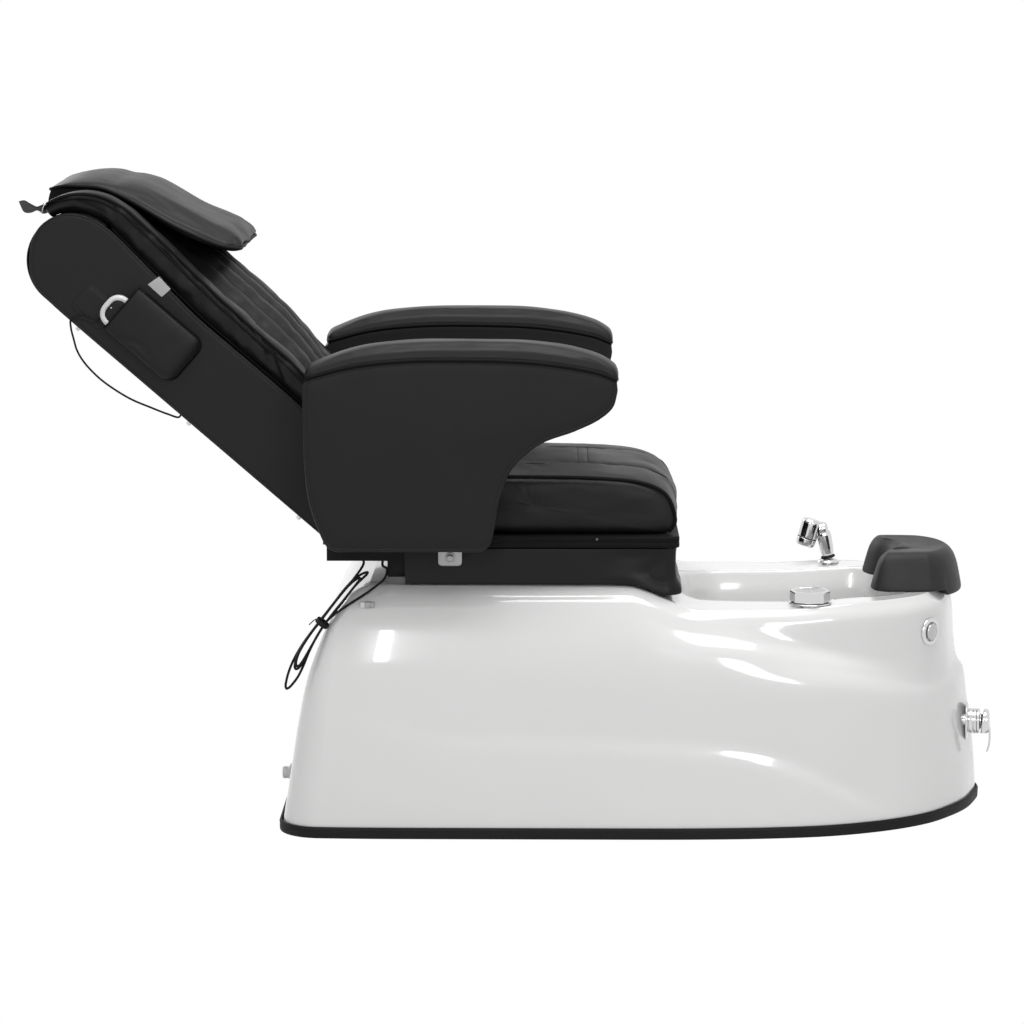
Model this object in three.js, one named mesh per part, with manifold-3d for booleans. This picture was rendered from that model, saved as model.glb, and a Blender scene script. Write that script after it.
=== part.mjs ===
// Pedicure spa chair: a glossy foot-basin base, a sliding upholstered seat with fixed arms, and a
// reclining massage backrest. Millimetres. +X is the way the sitter faces, +Y the sitter's left,
// +Z up. The floor is z = 0 and the middle of the base's steel cross bar stands on the origin.
// "near" pieces lie on the -Y side and "far" pieces on the +Y side.
import * as THREE from "three";
import { mergeVertices } from "three/addons/utils/BufferGeometryUtils.js";
import Module from "manifold-3d";

const wasm = await Module();
wasm.setup();

// ---------------------------------------------------------------- driving dimensions
const GAP = 0.3; // between fixed neighbours
const RUN = 0.9; // radial clearance of a turning or sliding fit
const SIDES = { near: -1, far: 1 };

// Base moulding.
const BASE_REAR = -616;
const BASE_FRONT = 650;
const BASE_HALF = 353;
const BASE_CORNER = 76;
const DECK_Z = 432;
const RIM_Z = 391;
const BOW_RIM_Z = 401;
const DECK_END = -12; // where the deck starts to fall towards the rim
const RIM_START = 134;
const SHELL_WALL = 5;
const BAND_HEIGHT = 20;
const BAND_WALL = 3.2;
const BASIN = { rear: 95, front: 515, half: 160, floorZ: 130 };

// Steel under the base.
const BAR = 30;
const BAR_WALL = 3;
const SUPPORT_WALL = 6;

// Slide, seat and arms.
const TRACK = { rear: -425, front: -15, inner: 195, outer: 235, height: 13.4 };
const RUNNER_HEIGHT = 9.7;
const SEAT_RAIL = { rear: -532, front: 60, rearBottom: 474, height: 44, earRadius: 26 };
const BOARD = { rear: -420, front: 90, half: 250, height: 20 };
const CUSHION = { rear: -415, front: 85, half: 228, edge: 98, crown: 14 };
const SKIRT = { rear: -393, front: 92, half: 250, wall: 4, lowest: 415 };
const ARM = { inner: 255, outer: 350 };
const BRACKET = { front: -293, width: 42, bottom: 468, top: 600, wall: 4 };

// Backrest: u runs up the rear face from the hip, v out of it towards the sitter.
const BACK_TILT = 41;
const HIP = { x: -532, z: 513 };
const BACK_HALF = 245;
const BACK_DEPTH = 151;
const BACK_WALL = 9;
const COVER_WALL = 4;
const HEAD = { u: 650, r: (BACK_DEPTH + 17) / 2 };
const PIVOT = { u: 40, v: 75, r: 10 };
const CRANK = 110;
const CRANK_PIN = 5;
const ACTUATOR = { anchorX: -190, anchorZ: 466, tube: 11, rod: 6.5, length: 215 };
const FRAME_PLATE = { inner: 168, wall: 5 };
const PAD = { start: 60, edge: 50, crown: 42 };
const PILLOW_HALF = 190;

// Massage carriage.
const CARRIAGE = { u: 145, length: 90, v: 36, plate: 6, cheek: 118 };
const ROTOR = { v: 98, shaft: 8, disc: 40, throw: 5 };

// Remote and its pocket on the near side of the backrest.
const REMOTE = { u: 404, length: 158, v: 38, width: 60, thick: 18 };
const POCKET = { u: 385, length: 150, v: 32, width: 92, wall: 2.6 };
const REMOTE_CORD = 3;
const HARNESS_CORD = 4.5;

// Fittings on the base.
const DIVERTER = { x: 322, y: -210, r: 36, height: 24, stem: 9 };
const SHOWER = { x: 386, y: 210, flange: 21, neck: 17, hose: 7.5 };
const SHOWER_HEAD = { r: 21, length: 47 };
const BUTTON = { z: 336, azimuth: -42, x: 548, y: -170, r: 25 };
const MIXER = { z: 152, azimuth: -8, x: 628, y: -62, r: 35, body: 21 };
const JET = { x: 300, z: 215, r: 30 };
const DRAIN = { x: 300, r: 32 };
const OUTLET = { y: -60, z: 52, r: 12 };
const FOOTREST = { rear: 440, front: 612, half: 132 };
const FOOT_PEG = { x: 556, y: 70, r: 6, depth: 12 };

// ---------------------------------------------------------------- shape helpers
const radians = THREE.MathUtils.degToRad;
const V3 = (x, y, z) => new THREE.Vector3(x, y, z);

// Cosine-eased value between a and b as x goes from x0 to x1.
function ease(x, x0, x1, a, b) {
  const t = THREE.MathUtils.clamp((x - x0) / (x1 - x0), 0, 1);
  return a + ((b - a) * (1 - Math.cos(Math.PI * t))) / 2;
}

// Straight-line reading of a short list of [x, value] pairs.
function along(pairs, x) {
  if (x <= pairs[0][0]) return pairs[0][1];
  for (let i = 1; i < pairs.length; i++) {
    const [x0, a] = pairs[i - 1];
    const [x1, b] = pairs[i];
    if (x <= x1) return a + ((b - a) * (x - x0)) / (x1 - x0);
  }
  return pairs[pairs.length - 1][1];
}

function arc(cx, cy, r, from, to, steps) {
  const points = [];
  for (let i = 0; i <= steps; i++) {
    const a = radians(from + ((to - from) * i) / steps);
    points.push([cx + r * Math.cos(a), cy + r * Math.sin(a)]);
  }
  return points;
}

// A closed geometry as a solid that can be joined and cut, turned to face out.
function solid(geometry) {
  const bare = geometry.clone();
  bare.deleteAttribute("normal");
  bare.deleteAttribute("uv");
  const merged = mergeVertices(bare, 1e-3);
  const triVerts = new Uint32Array(merged.index.array);
  const vertProperties = merged.attributes.position.array;
  const made = new wasm.Manifold(new wasm.Mesh({ numProp: 3, vertProperties, triVerts }));
  if (made.volume() > 0) return made;
  for (let i = 0; i < triVerts.length; i += 3) {
    const first = triVerts[i];
    triVerts[i] = triVerts[i + 1];
    triVerts[i + 1] = first;
  }
  return new wasm.Manifold(new wasm.Mesh({ numProp: 3, vertProperties, triVerts }));
}

function geometryOf(made) {
  const mesh = made.getMesh();
  return new THREE.BufferGeometry()
    .setAttribute("position", new THREE.BufferAttribute(mesh.vertProperties, 3))
    .setIndex(new THREE.BufferAttribute(mesh.triVerts, 1));
}

const joined = (...pieces) => pieces.reduce((whole, piece) => whole.add(piece));

function box(x0, x1, y0, y1, z0, z1) {
  const geometry = new THREE.BoxGeometry(x1 - x0, Math.abs(y1 - y0), z1 - z0);
  return solid(geometry.translate((x0 + x1) / 2, (y0 + y1) / 2, (z0 + z1) / 2));
}

// Turns a geometry made round the Y axis so that it stands on `from` and points along `direction`.
function stand(geometry, from, direction) {
  const turn = new THREE.Quaternion().setFromUnitVectors(V3(0, 1, 0), direction.clone().normalize());
  return geometry.applyQuaternion(turn).translate(from.x, from.y, from.z);
}

function rod(from, to, radius, sides = 16) {
  const direction = to.clone().sub(from);
  const length = direction.length();
  const geometry = new THREE.CylinderGeometry(radius, radius, length, sides);
  return solid(stand(geometry.translate(0, length / 2, 0), from, direction));
}

// Lathe of [radius, height] pairs, which start and end on the axis or close on themselves.
function turned(profile, from, direction, sides = 20) {
  const points = profile.map(([r, h]) => new THREE.Vector2(r, h));
  return solid(stand(new THREE.LatheGeometry(points, sides), from, direction));
}

// A flat outline in X and Z, swept across from y0 to y1.
function plate(outline, y0, y1) {
  const shape = new THREE.Shape(outline.map(([x, z]) => new THREE.Vector2(x, z)));
  const geometry = new THREE.ExtrudeGeometry(shape, { depth: Math.abs(y1 - y0), bevelEnabled: false });
  return solid(geometry.rotateX(Math.PI / 2).translate(0, Math.max(y0, y1), 0));
}

// Skin over rings of equal count, closed by a fan on each end ring's middle.
function loft(rings) {
  const n = rings[0].length;
  const points = rings.flat();
  const index = [];
  for (let k = 0; k + 1 < rings.length; k++) {
    for (let i = 0; i < n; i++) {
      const a = k * n + i;
      const b = k * n + ((i + 1) % n);
      index.push(a, b, b + n, a, b + n, a + n);
    }
  }
  [0, rings.length - 1].forEach((k) => {
    const middle = rings[k].reduce((sum, p) => sum.add(p), V3(0, 0, 0)).divideScalar(n);
    points.push(middle);
    for (let i = 0; i < n; i++) {
      const edge = [k * n + ((i + 1) % n), k * n + i];
      if (k) edge.reverse();
      index.push(...edge, points.length - 1);
    }
  });
  const geometry = new THREE.BufferGeometry().setFromPoints(points);
  geometry.setIndex(index);
  return solid(geometry);
}

// Round tube along a smooth curve through hand-chosen points.
function tube(points, radius, sides, steps) {
  const curve = new THREE.CatmullRomCurve3(points, false, "centripetal");
  const section = new THREE.Shape(
    arc(0, 0, radius, 0, 360 - 360 / sides, sides - 1).map(([x, y]) => new THREE.Vector2(x, y)),
  );
  const options = { steps, extrudePath: curve, bevelEnabled: false };
  return solid(new THREE.ExtrudeGeometry(section, options));
}

// ---------------------------------------------------------------- materials and assembly
const finish = (color, roughness, metalness = 0) =>
  new THREE.MeshStandardMaterial({ color, roughness, metalness });
const GEL_COAT = finish(0xe9e9e7, 0.12);
const VINYL = finish(0x2c2c2e, 0.55);
const FOAM = finish(0x4a4a4c, 0.6);
const CHROME = finish(0xd8dadc, 0.12, 1);
const STEEL = finish(0x6f7276, 0.45, 0.8);
const BLACK_STEEL = finish(0x202124, 0.5, 0.4);
const RUBBER = finish(0x1b1b1c, 0.8);
const GREY_PLASTIC = finish(0xb9babc, 0.45);
const DARK_PLASTIC = finish(0x303134, 0.5);
const WHITE_PLASTIC = finish(0xf0f0ee, 0.4);

const chair = new THREE.Group();

function put(name, made, material) {
  const mesh = new THREE.Mesh(geometryOf(made), material);
  mesh.name = name;
  chair.add(mesh);
  return mesh;
}

function putPair(name, make, material) {
  for (const [side, sign] of Object.entries(SIDES)) put(`${name}_${side}`, make(sign), material);
}

// ---------------------------------------------------------------- base moulding
// Height of the deck behind the basin, and of the rim round it.
function topZ(x) {
  if (x < RIM_START) return ease(x, DECK_END, RIM_START, DECK_Z, RIM_Z);
  return ease(x, RIM_START + 140, BASE_FRONT - 170, RIM_Z, BOW_RIM_Z);
}

// Outline on the floor, one half from the rear to the bow: the bow as shares of its length and
// of the half width.
const BOW_START = 20;
const BOW = [
  [0.17, 0.994],
  [0.333, 0.975],
  [0.5, 0.93],
  [0.616, 0.864],
  [0.733, 0.759],
  [0.825, 0.632],
  [0.892, 0.482],
  [0.944, 0.329],
  [0.978, 0.17],
];

// The outline at the inset that `insetAt` gives for each x, kept in step so that levels can be
// joined point by point.
function outlineAt(insetAt) {
  const rear = insetAt(BASE_REAR);
  const hip = insetAt(BASE_REAR + 110);
  const r = Math.max(BASE_CORNER - Math.min(rear, hip), 24);
  const cornerY = BASE_HALF - 4 - hip - r;
  const sides = [-400, -230, DECK_END - 30, BOW_START];
  const straight = [
    [BASE_REAR + rear, cornerY * 0.5],
    ...arc(BASE_REAR + rear + r, cornerY, r, 180, 90, 4),
    ...sides.map((x) => [x, BASE_HALF - insetAt(x)]),
  ];
  const length = BASE_FRONT - BOW_START;
  const bow = [[0, 1], ...BOW, [1, 0]].map(([l, w]) => V3(BOW_START + l * length, w * BASE_HALF, 0));
  const curved = BOW.map((_, i) => {
    const tangent = bow[i + 2].clone().sub(bow[i]).normalize();
    const p = bow[i + 1];
    const inset = insetAt(p.x);
    return [p.x + tangent.y * inset, p.y - tangent.x * inset];
  });
  const far = [...straight, ...curved].map(([x, y]) => V3(x, y, 0));
  const near = far.map((p) => V3(p.x, -p.y, 0));
  const tip = V3(BASE_FRONT - insetAt(BASE_FRONT), 0, 0);
  return [V3(BASE_REAR + rear, 0, 0), ...near, tip, ...far.reverse()];
}
const floorOutline = (inset) => outlineAt(() => inset);

function moveInward(loop, p, i, inset) {
  const n = loop.length;
  const tangent = loop[(i + 1) % n].clone().sub(loop[(i + n - 1) % n]).normalize();
  return V3(p.x - tangent.y * inset, p.y + tangent.x * inset, p.z);
}

// Side profiles: [inset from the floor outline, share of the local top height] at stations in x.
// The hip's shoulder drops and sharpens towards the bow.
const PROFILES = [
  [BASE_REAR, [[0, 0], [16, 0.231], [32, 0.463], [47, 0.625], [64, 0.741], [90, 0.875], [118, 0.961], [158, 1]]],
  [BASE_REAR + 110, [[0, 0], [5, 0.23], [12, 0.46], [22, 0.648], [34, 0.775], [56, 0.898], [80, 0.968], [108, 1]]],
  [-20, [[0, 0], [5, 0.23], [12, 0.46], [20, 0.66], [32, 0.79], [54, 0.9], [78, 0.97], [106, 1]]],
  [RIM_START, [[0, 0], [5, 0.256], [12, 0.51], [20, 0.69], [32, 0.824], [60, 0.91], [76, 0.967], [92, 1]]],
  [336, [[0, 0], [5, 0.23], [12, 0.457], [20, 0.665], [40, 0.761], [60, 0.838], [65, 0.944], [80, 1]]],
  [480, [[0, 0], [6, 0.225], [14, 0.45], [22, 0.595], [36, 0.675], [44, 0.75], [47, 0.925], [64, 1]]],
  [582, [[0, 0], [7, 0.225], [16, 0.424], [24, 0.561], [32, 0.623], [35, 0.723], [38, 0.928], [56, 1]]],
  [BASE_FRONT, [[0, 0], [6, 0.225], [20, 0.474], [27, 0.6], [40, 0.655], [46, 0.75], [52, 0.935], [70, 1]]],
];

function profileAt(x, k) {
  return [0, 1].map((j) => along(PROFILES.map(([at, profile]) => [at, profile[k][j]]), x));
}

// The basin's plan at a share of its size, read in polar form round its middle.
const BASIN_MIDDLE = (BASIN.rear + BASIN.front) / 2;
const BASIN_LENGTH = (BASIN.front - BASIN.rear) / 2;

function basinPoint(angle, rear, front, half, z) {
  const c = Math.cos(angle);
  const s = Math.sin(angle);
  const a = c < 0 ? rear : front;
  const r = (Math.abs(c / a) ** 4 + Math.abs(s / half) ** 4) ** -0.25;
  const x = BASIN_MIDDLE + r * c;
  return V3(x, r * s, z(x));
}

function baseRings() {
  const floor = floorOutline(0);
  const rings = PROFILES[0][1].map((_, k) =>
    outlineAt((x) => BAND_WALL + GAP + profileAt(x, k)[0]).map((p, i) =>
      p.setZ(k ? profileAt(floor[i].x, k)[1] * topZ(p.x) : 2),
    ),
  );
  const edge = rings[rings.length - 1];
  const angles = edge.map((p) => Math.atan2(p.y, p.x - BASIN_MIDDLE));
  const land = angles.map((angle) =>
    basinPoint(angle, BASIN_MIDDLE - DECK_END, BASIN_LENGTH + 28, BASIN.half + 40, topZ),
  );
  for (const share of [1 / 3, 2 / 3, 1]) {
    rings.push(edge.map((p, i) => p.clone().lerp(land[i], share)).map((p) => p.setZ(topZ(p.x))));
  }
  const depth = (share) => (x) => topZ(x) + share * (BASIN.floorZ - topZ(x));
  const steps = [
    [-16, -10, -14, 0],
    [0, 0, 0, 0.012],
    [9, 9, 9, 0.07],
    [30, 24, 24, 0.55],
    [46, 36, 36, 0.9],
    [72, 62, 62, 1],
  ];
  for (const [rear, front, half, share] of steps) {
    const [a, b, c] = [BASIN_LENGTH - rear, BASIN_LENGTH - front, BASIN.half - half];
    rings.push(angles.map((angle) => basinPoint(angle, a, b, c, depth(share))));
  }
  return { rings, angles };
}

// Two skins a wall apart, joined round the floor edge and closed over the basin's middle.
function hollowShell(rings, wall) {
  const n = rings[0].length;
  const outer = [...rings.flat(), V3(BASIN_MIDDLE, 0, BASIN.floorZ)];
  const index = [];
  rings.slice(1).forEach((_, k) => {
    for (let i = 0; i < n; i++) {
      const a = k * n + i;
      const b = k * n + ((i + 1) % n);
      index.push(a, b, b + n, a, b + n, a + n);
    }
  });
  const last = (rings.length - 1) * n;
  for (let i = 0; i < n; i++) index.push(last + i, last + ((i + 1) % n), last + n);
  const skin = new THREE.BufferGeometry().setFromPoints(outer);
  skin.setIndex(index);
  skin.computeVertexNormals();
  const normal = skin.getAttribute("normal");
  const inner = outer.map((p, i) => {
    const inward = V3(normal.getX(i), normal.getY(i), i < n ? 0 : normal.getZ(i));
    return p.clone().addScaledVector(inward.normalize(), -wall);
  });
  const m = outer.length;
  const all = [...index];
  for (let i = 0; i < index.length; i += 3) {
    all.push(index[i] + m, index[i + 2] + m, index[i + 1] + m);
  }
  for (let i = 0; i < n; i++) {
    const j = (i + 1) % n;
    all.push(i, i + m, j + m, i, j + m, j);
  }
  const shell = new THREE.BufferGeometry().setFromPoints([...outer, ...inner]);
  shell.setIndex(all);
  const lining = new THREE.BufferGeometry().setFromPoints(inner);
  lining.setIndex(index);
  return { shell: solid(shell), skin, lining };
}

const { rings: baseLevels, angles: basinAngles } = baseRings();
const moulding = hollowShell(baseLevels, SHELL_WALL);
const bothSides = new THREE.MeshBasicMaterial({ side: THREE.DoubleSide });
const skinMesh = new THREE.Mesh(moulding.skin, bothSides);
const liningMesh = new THREE.Mesh(moulding.lining, bothSides);

// Where a line towards `direction` first meets the moulding's outer skin, or its inner one.
function landing(start, direction, mesh = skinMesh) {
  return new THREE.Raycaster(start, direction.clone().normalize()).intersectObject(mesh)[0].point;
}

const level = (azimuth) => V3(Math.cos(radians(azimuth)), Math.sin(radians(azimuth)), 0);
const REACH = 200;
const PAD_MARGIN = 3; // of the moulded pad round a fitting's flange

// The seat of a fitting on the wall, at least `proud` of it and clear of it all round the flange.
function wallSeat({ x, y, z, azimuth, r }, proud, normal = level(azimuth)) {
  const out = level(azimuth);
  const side = V3(-out.y, out.x, 0);
  const start = V3(x, y, z).addScaledVector(out, REACH);
  const at = (a, b) => landing(start.clone().addScaledVector(side, a).addScaledVector(UP, b), out.clone().negate());
  const middle = at(0, 0);
  const under = [r + PAD_MARGIN, (r * 2) / 3, r / 3].flatMap((reach) => arc(0, 0, reach, 0, 330, 11));
  const heights = under.map(([a, b]) => at(a, b).sub(middle).dot(normal));
  const bulge = Math.max(...heights) / out.dot(normal) + 2 * GAP;
  return { out, seat: middle.addScaledVector(out, Math.max(proud, bulge)) };
}

// Mean direction the wall faces round a fitting.
function wallNormal({ x, y, z, azimuth }) {
  const out = level(azimuth);
  const side = V3(-out.y, out.x, 0);
  const start = V3(x, y, z).addScaledVector(out, REACH);
  const at = (a, b) => landing(start.clone().addScaledVector(side, a).addScaledVector(UP, b), out.clone().negate());
  return at(30, 0).sub(at(-30, 0)).cross(at(0, 30).sub(at(0, -30))).normalize();
}

const PAD_PROUD = 2.2; // flat pads moulded into the curved wall under the fittings
const JET_PROUD = 6; // deeper, as the basin's wall leans away below them
const UP = V3(0, 0, 1);
const mixerNormal = wallNormal(MIXER);
const buttonPlace = wallSeat(BUTTON, PAD_PROUD + 1);
const mixerPlace = wallSeat(MIXER, PAD_PROUD, mixerNormal);
const diverterSeat = V3(DIVERTER.x, DIVERTER.y, topZ(DIVERTER.x) + PAD_PROUD + 1);
const showerSeat = V3(SHOWER.x, SHOWER.y, topZ(SHOWER.x) + PAD_PROUD);
const jetPlaces = Object.fromEntries(
  Object.entries(SIDES).map(([side, sign]) => [
    side,
    landing(V3(JET.x, 0, JET.z), V3(0, sign, 0)).addScaledVector(V3(0, -sign, 0), JET_PROUD),
  ]),
);
const outletSeat = landing(V3(BASE_REAR - REACH, OUTLET.y, OUTLET.z), V3(1, 0, 0)).add(V3(-PAD_PROUD - 1.5, 0, 0));
const BUTTON_SHANK = 14;
const MIXER_SHANK = 17;
const JET_SHANK = 18;
const DRAIN_SHANK = 20;

function seatPad(seat, out, radius) {
  return rod(seat.clone().addScaledVector(out, -JET_PROUD - 3), seat, radius, 24);
}

// Holes are cut with their flats, not their corners, clear of the shank.
function bore(seat, out, radius, depth = 30) {
  const sides = 24;
  const from = seat.clone().addScaledVector(out, -depth);
  return rod(from, seat.clone().addScaledVector(out, 10), radius / Math.cos(Math.PI / sides), sides);
}

const drainSeat = V3(DRAIN.x, 0, BASIN.floorZ);
let shell = joined(
  moulding.shell,
  seatPad(buttonPlace.seat, buttonPlace.out, BUTTON.r + PAD_MARGIN),
  seatPad(mixerPlace.seat, mixerNormal, MIXER.r + PAD_MARGIN),
  seatPad(diverterSeat, UP, DIVERTER.r + 4),
  seatPad(showerSeat, UP, SHOWER.flange + 9),
  seatPad(outletSeat, V3(-1, 0, 0), OUTLET.r + 6),
  ...Object.entries(SIDES).map(([side, sign]) => seatPad(jetPlaces[side], V3(0, -sign, 0), JET.r + 3)),
);
shell = [
  bore(buttonPlace.seat, buttonPlace.out, BUTTON_SHANK + GAP),
  bore(mixerPlace.seat, mixerPlace.out, MIXER_SHANK + GAP),
  bore(diverterSeat, UP, DIVERTER.stem + GAP),
  bore(showerSeat, UP, SHOWER.neck - 2 + GAP),
  bore(drainSeat, UP, DRAIN_SHANK + GAP),
  bore(outletSeat, V3(-1, 0, 0), OUTLET.r + GAP),
  ...[-1, 1].map((sign) => bore(V3(FOOT_PEG.x, sign * FOOT_PEG.y, BOW_RIM_Z), UP, FOOT_PEG.r + RUN)),
  ...Object.entries(SIDES).map(([side, sign]) => bore(jetPlaces[side], V3(0, -sign, 0), JET_SHANK + GAP)),
].reduce((whole, hole) => whole.subtract(hole), shell);

// The bowl is a moulding of its own, let into the shell along the rim's inner roll.
function bowlSpace(grow) {
  const [rear, front, half] = [BASIN_LENGTH + 8, BASIN_LENGTH + 6, BASIN.half + 8].map((size) => size + grow);
  const ring = (z) => basinAngles.map((angle) => basinPoint(angle, rear, front, half, () => z));
  return loft([ring(BASIN.floorZ - 40), ring(DECK_Z + 40)]);
}
put("base_shell", shell.subtract(bowlSpace(GAP)), GEL_COAT);
put("basin_bowl", shell.intersect(bowlSpace(0)), GEL_COAT);

function kickBand() {
  const ring = (inset, z) => floorOutline(inset).map((p) => p.setZ(z));
  const wall = [ring(0, 0), ring(0, BAND_HEIGHT - 2), ring(1.2, BAND_HEIGHT)];
  const outer = loft([...wall]);
  const hole = loft([ring(BAND_WALL, -5), ring(BAND_WALL, BAND_HEIGHT + 5)]);
  return outer.subtract(hole);
}
put("kick_band", kickBand(), RUBBER);

// ---------------------------------------------------------------- steel inside the base
// Cross bars of hollow box section, open ended, reach the moulding's inner face.
function crossBar(x) {
  const ends = [-1, 1].flatMap((end) =>
    [3, BAR].map((z) => landing(V3(x + (end * BAR) / 2, -BASE_HALF, z), V3(0, 1, 0), liningMesh).y),
  );
  const half = Math.max(...ends) + GAP;
  const outer = box(x - BAR / 2, x + BAR / 2, half, -half, 0, BAR);
  const inner = BAR / 2 - BAR_WALL;
  return outer.subtract(box(x - inner, x + inner, half - 5, -half + 5, BAR_WALL, BAR - BAR_WALL));
}
const BAR_REAR = -380;
const BAR_FRONT = 400;
put("frame_cross_rear", crossBar(BAR_REAR), BLACK_STEEL);
put("frame_cross_mid", crossBar(0), BLACK_STEEL);
put("frame_cross_front", crossBar(BAR_FRONT), BLACK_STEEL);

// Sheet-steel stands carry the slide tracks through the deck onto two of the cross bars.
const TRACK_MIDDLE = (TRACK.inner + TRACK.outer) / 2;
const DECK_UNDER = DECK_Z - SHELL_WALL - GAP;
putPair(
  "deck_support",
  (sign) => {
    const y = sign * TRACK_MIDDLE;
    const outline = [
      [BAR_REAR - BAR / 2, BAR + GAP],
      [BAR / 2, BAR + GAP],
      [BAR / 2, 300],
      [DECK_END - 90, DECK_UNDER],
      [BAR_REAR - BAR / 2, DECK_UNDER],
    ];
    return plate(outline, y - SUPPORT_WALL / 2, y + SUPPORT_WALL / 2);
  },
  BLACK_STEEL,
);

// Water pump between the stands, on a foot that spans both cross bars' tops.
const PUMP = { rear: -330, front: -110, z: 120, motor: 58, volute: 74 };

function pump() {
  const foot = box(BAR_REAR - 10, 10, -50, 50, BAR + GAP, BAR + GAP + 6);
  const leg = box(PUMP.rear + 40, PUMP.front - 40, -30, 30, BAR + GAP + 5, PUMP.z);
  const motor = turned([[0, 0], [PUMP.motor, 0], [PUMP.motor, 150], [0, 150]], V3(PUMP.rear, 0, PUMP.z), V3(1, 0, 0));
  const volute = turned(
    [[0, 0], [PUMP.volute, 8], [PUMP.volute, 52], [24, 60], [24, 84], [0, 84]],
    V3(PUMP.rear + 145, 0, PUMP.z),
    V3(1, 0, 0),
    24,
  );
  const spout = rod(V3(PUMP.rear + 175, 0, PUMP.z + 40), V3(PUMP.rear + 175, 0, PUMP.z + 120), 17);
  return joined(foot, leg, motor, volute, spout);
}
put("water_pump", pump(), DARK_PLASTIC);

const BOX_WALL_Y = TRACK_MIDDLE - SUPPORT_WALL / 2 - GAP;
put("control_box", box(-330, -190, BOX_WALL_Y - 60, BOX_WALL_Y, 230, 330), GREY_PLASTIC);

// ---------------------------------------------------------------- water fittings
const drainDepth = SHELL_WALL + 4;
put(
  "drain_body",
  turned(
    [
      [DRAIN_SHANK - 4, -30],
      [DRAIN_SHANK, -30],
      [DRAIN_SHANK, GAP],
      [DRAIN.r, GAP],
      [DRAIN.r - 3, 3],
      [DRAIN_SHANK - 4, 3],
      [DRAIN_SHANK - 4, -30],
    ].map(([r, h]) => [r, h - (h < 0 ? drainDepth - 9 : 0)]),
    drainSeat,
    UP,
  ),
  CHROME,
);
const STOPPER_LIFT = GAP + 3.4;
put(
  "drain_stopper",
  turned(
    [[0, -20], [5, -20], [5, STOPPER_LIFT], [DRAIN_SHANK, STOPPER_LIFT], [DRAIN_SHANK - 4, STOPPER_LIFT + 5], [0, STOPPER_LIFT + 6]],
    drainSeat,
    UP,
  ),
  CHROME,
);

const HOSE = 15;
const drainEnd = V3(DRAIN.x, 0, BASIN.floorZ - 30 - GAP);
put(
  "drain_hose",
  tube(
    [
      drainEnd,
      V3(DRAIN.x, 0, drainEnd.z - 14),
      V3(DRAIN.x - 34, -10, BAR + HOSE + 6),
      V3(DRAIN.x - 100, -60, BAR + HOSE + 4),
      V3(120, -120, BAR + HOSE + 2),
      V3(-120, -140, BAR + HOSE + 2),
      V3(-360, -140, BAR + HOSE + 2),
      V3(-480, -110, OUTLET.z + 2),
      V3(outletSeat.x + 60, OUTLET.y, OUTLET.z),
      V3(outletSeat.x + 22.5, OUTLET.y, OUTLET.z),
    ],
    HOSE,
    8,
    28,
  ),
  RUBBER,
);
put(
  "rear_outlet",
  turned(
    [[0, -22], [OUTLET.r, -22], [OUTLET.r, GAP], [OUTLET.r + 5, GAP], [OUTLET.r + 5, 5], [OUTLET.r - 1, 6], [OUTLET.r - 2, 18], [0, 19]],
    outletSeat,
    V3(-1, 0, 0),
  ),
  WHITE_PLASTIC,
);

for (const [side, sign] of Object.entries(SIDES)) {
  put(
    `jet_${side}`,
    turned(
      [[0, -34], [JET_SHANK, -34], [JET_SHANK, GAP], [JET.r, GAP], [JET.r, 3], [JET.r - 8, 8], [8, 10], [8, 5], [0, 5]],
      jetPlaces[side],
      V3(0, -sign, 0),
    ),
    GREY_PLASTIC,
  );
}

put(
  "diverter_flange",
  turned(
    [
      [DIVERTER.stem - 3, -24],
      [DIVERTER.stem, -24],
      [DIVERTER.stem, GAP],
      [DIVERTER.r + 2, GAP],
      [DIVERTER.r, 3],
      [DIVERTER.stem - 3, 3],
      [DIVERTER.stem - 3, -24],
    ],
    diverterSeat,
    UP,
    24,
  ),
  CHROME,
);
const KNOB_LIFT = 3 + GAP;
const knobStem = rod(
  diverterSeat.clone().setZ(diverterSeat.z - 18),
  diverterSeat.clone().setZ(diverterSeat.z + KNOB_LIFT + 1),
  DIVERTER.stem - 3 - RUN,
);
put(
  "diverter_knob",
  turned(
    [
      [0, 0],
      [DIVERTER.r - 1, 0],
      [DIVERTER.r, 3],
      [DIVERTER.r, DIVERTER.height - 3],
      [DIVERTER.r - 3, DIVERTER.height],
      [0, DIVERTER.height],
    ],
    diverterSeat.clone().setZ(diverterSeat.z + KNOB_LIFT),
    UP,
    8,
  ).add(knobStem),
  CHROME,
);

// Pull-out shower: the neck stands in its flange, with the hose below it and a tilting head above.
const NECK_LEAN = V3(-0.1, 0, 1).normalize();
const flangeTop = 7;
put(
  "shower_flange",
  turned(
    [
      [SHOWER.hose + RUN, -16],
      [SHOWER.neck - 2, -16],
      [SHOWER.neck - 2, GAP],
      [SHOWER.flange, GAP],
      [SHOWER.flange, 3],
      [SHOWER.neck - 4, flangeTop],
      [SHOWER.hose + RUN, flangeTop],
      [SHOWER.hose + RUN, -16],
    ],
    showerSeat,
    UP,
  ),
  CHROME,
);
const neckFoot = showerSeat.clone().setZ(showerSeat.z + flangeTop + 1.6);
const swivel = neckFoot.clone().addScaledVector(NECK_LEAN, 40);
const HEAD_AXIS = V3(-0.36, 0, -1).normalize(); // from the swivel end to the nozzle face
const headMiddle = swivel.clone().add(V3(-32, 0, 8));
const neck = turned(
  [[0, 0], [11, 0], [SHOWER.neck, 9], [SHOWER.neck - 1, 16], [SHOWER.neck - 5, 34], [0, 34]],
  neckFoot,
  NECK_LEAN,
);
put("shower_neck", neck, CHROME);
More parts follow.
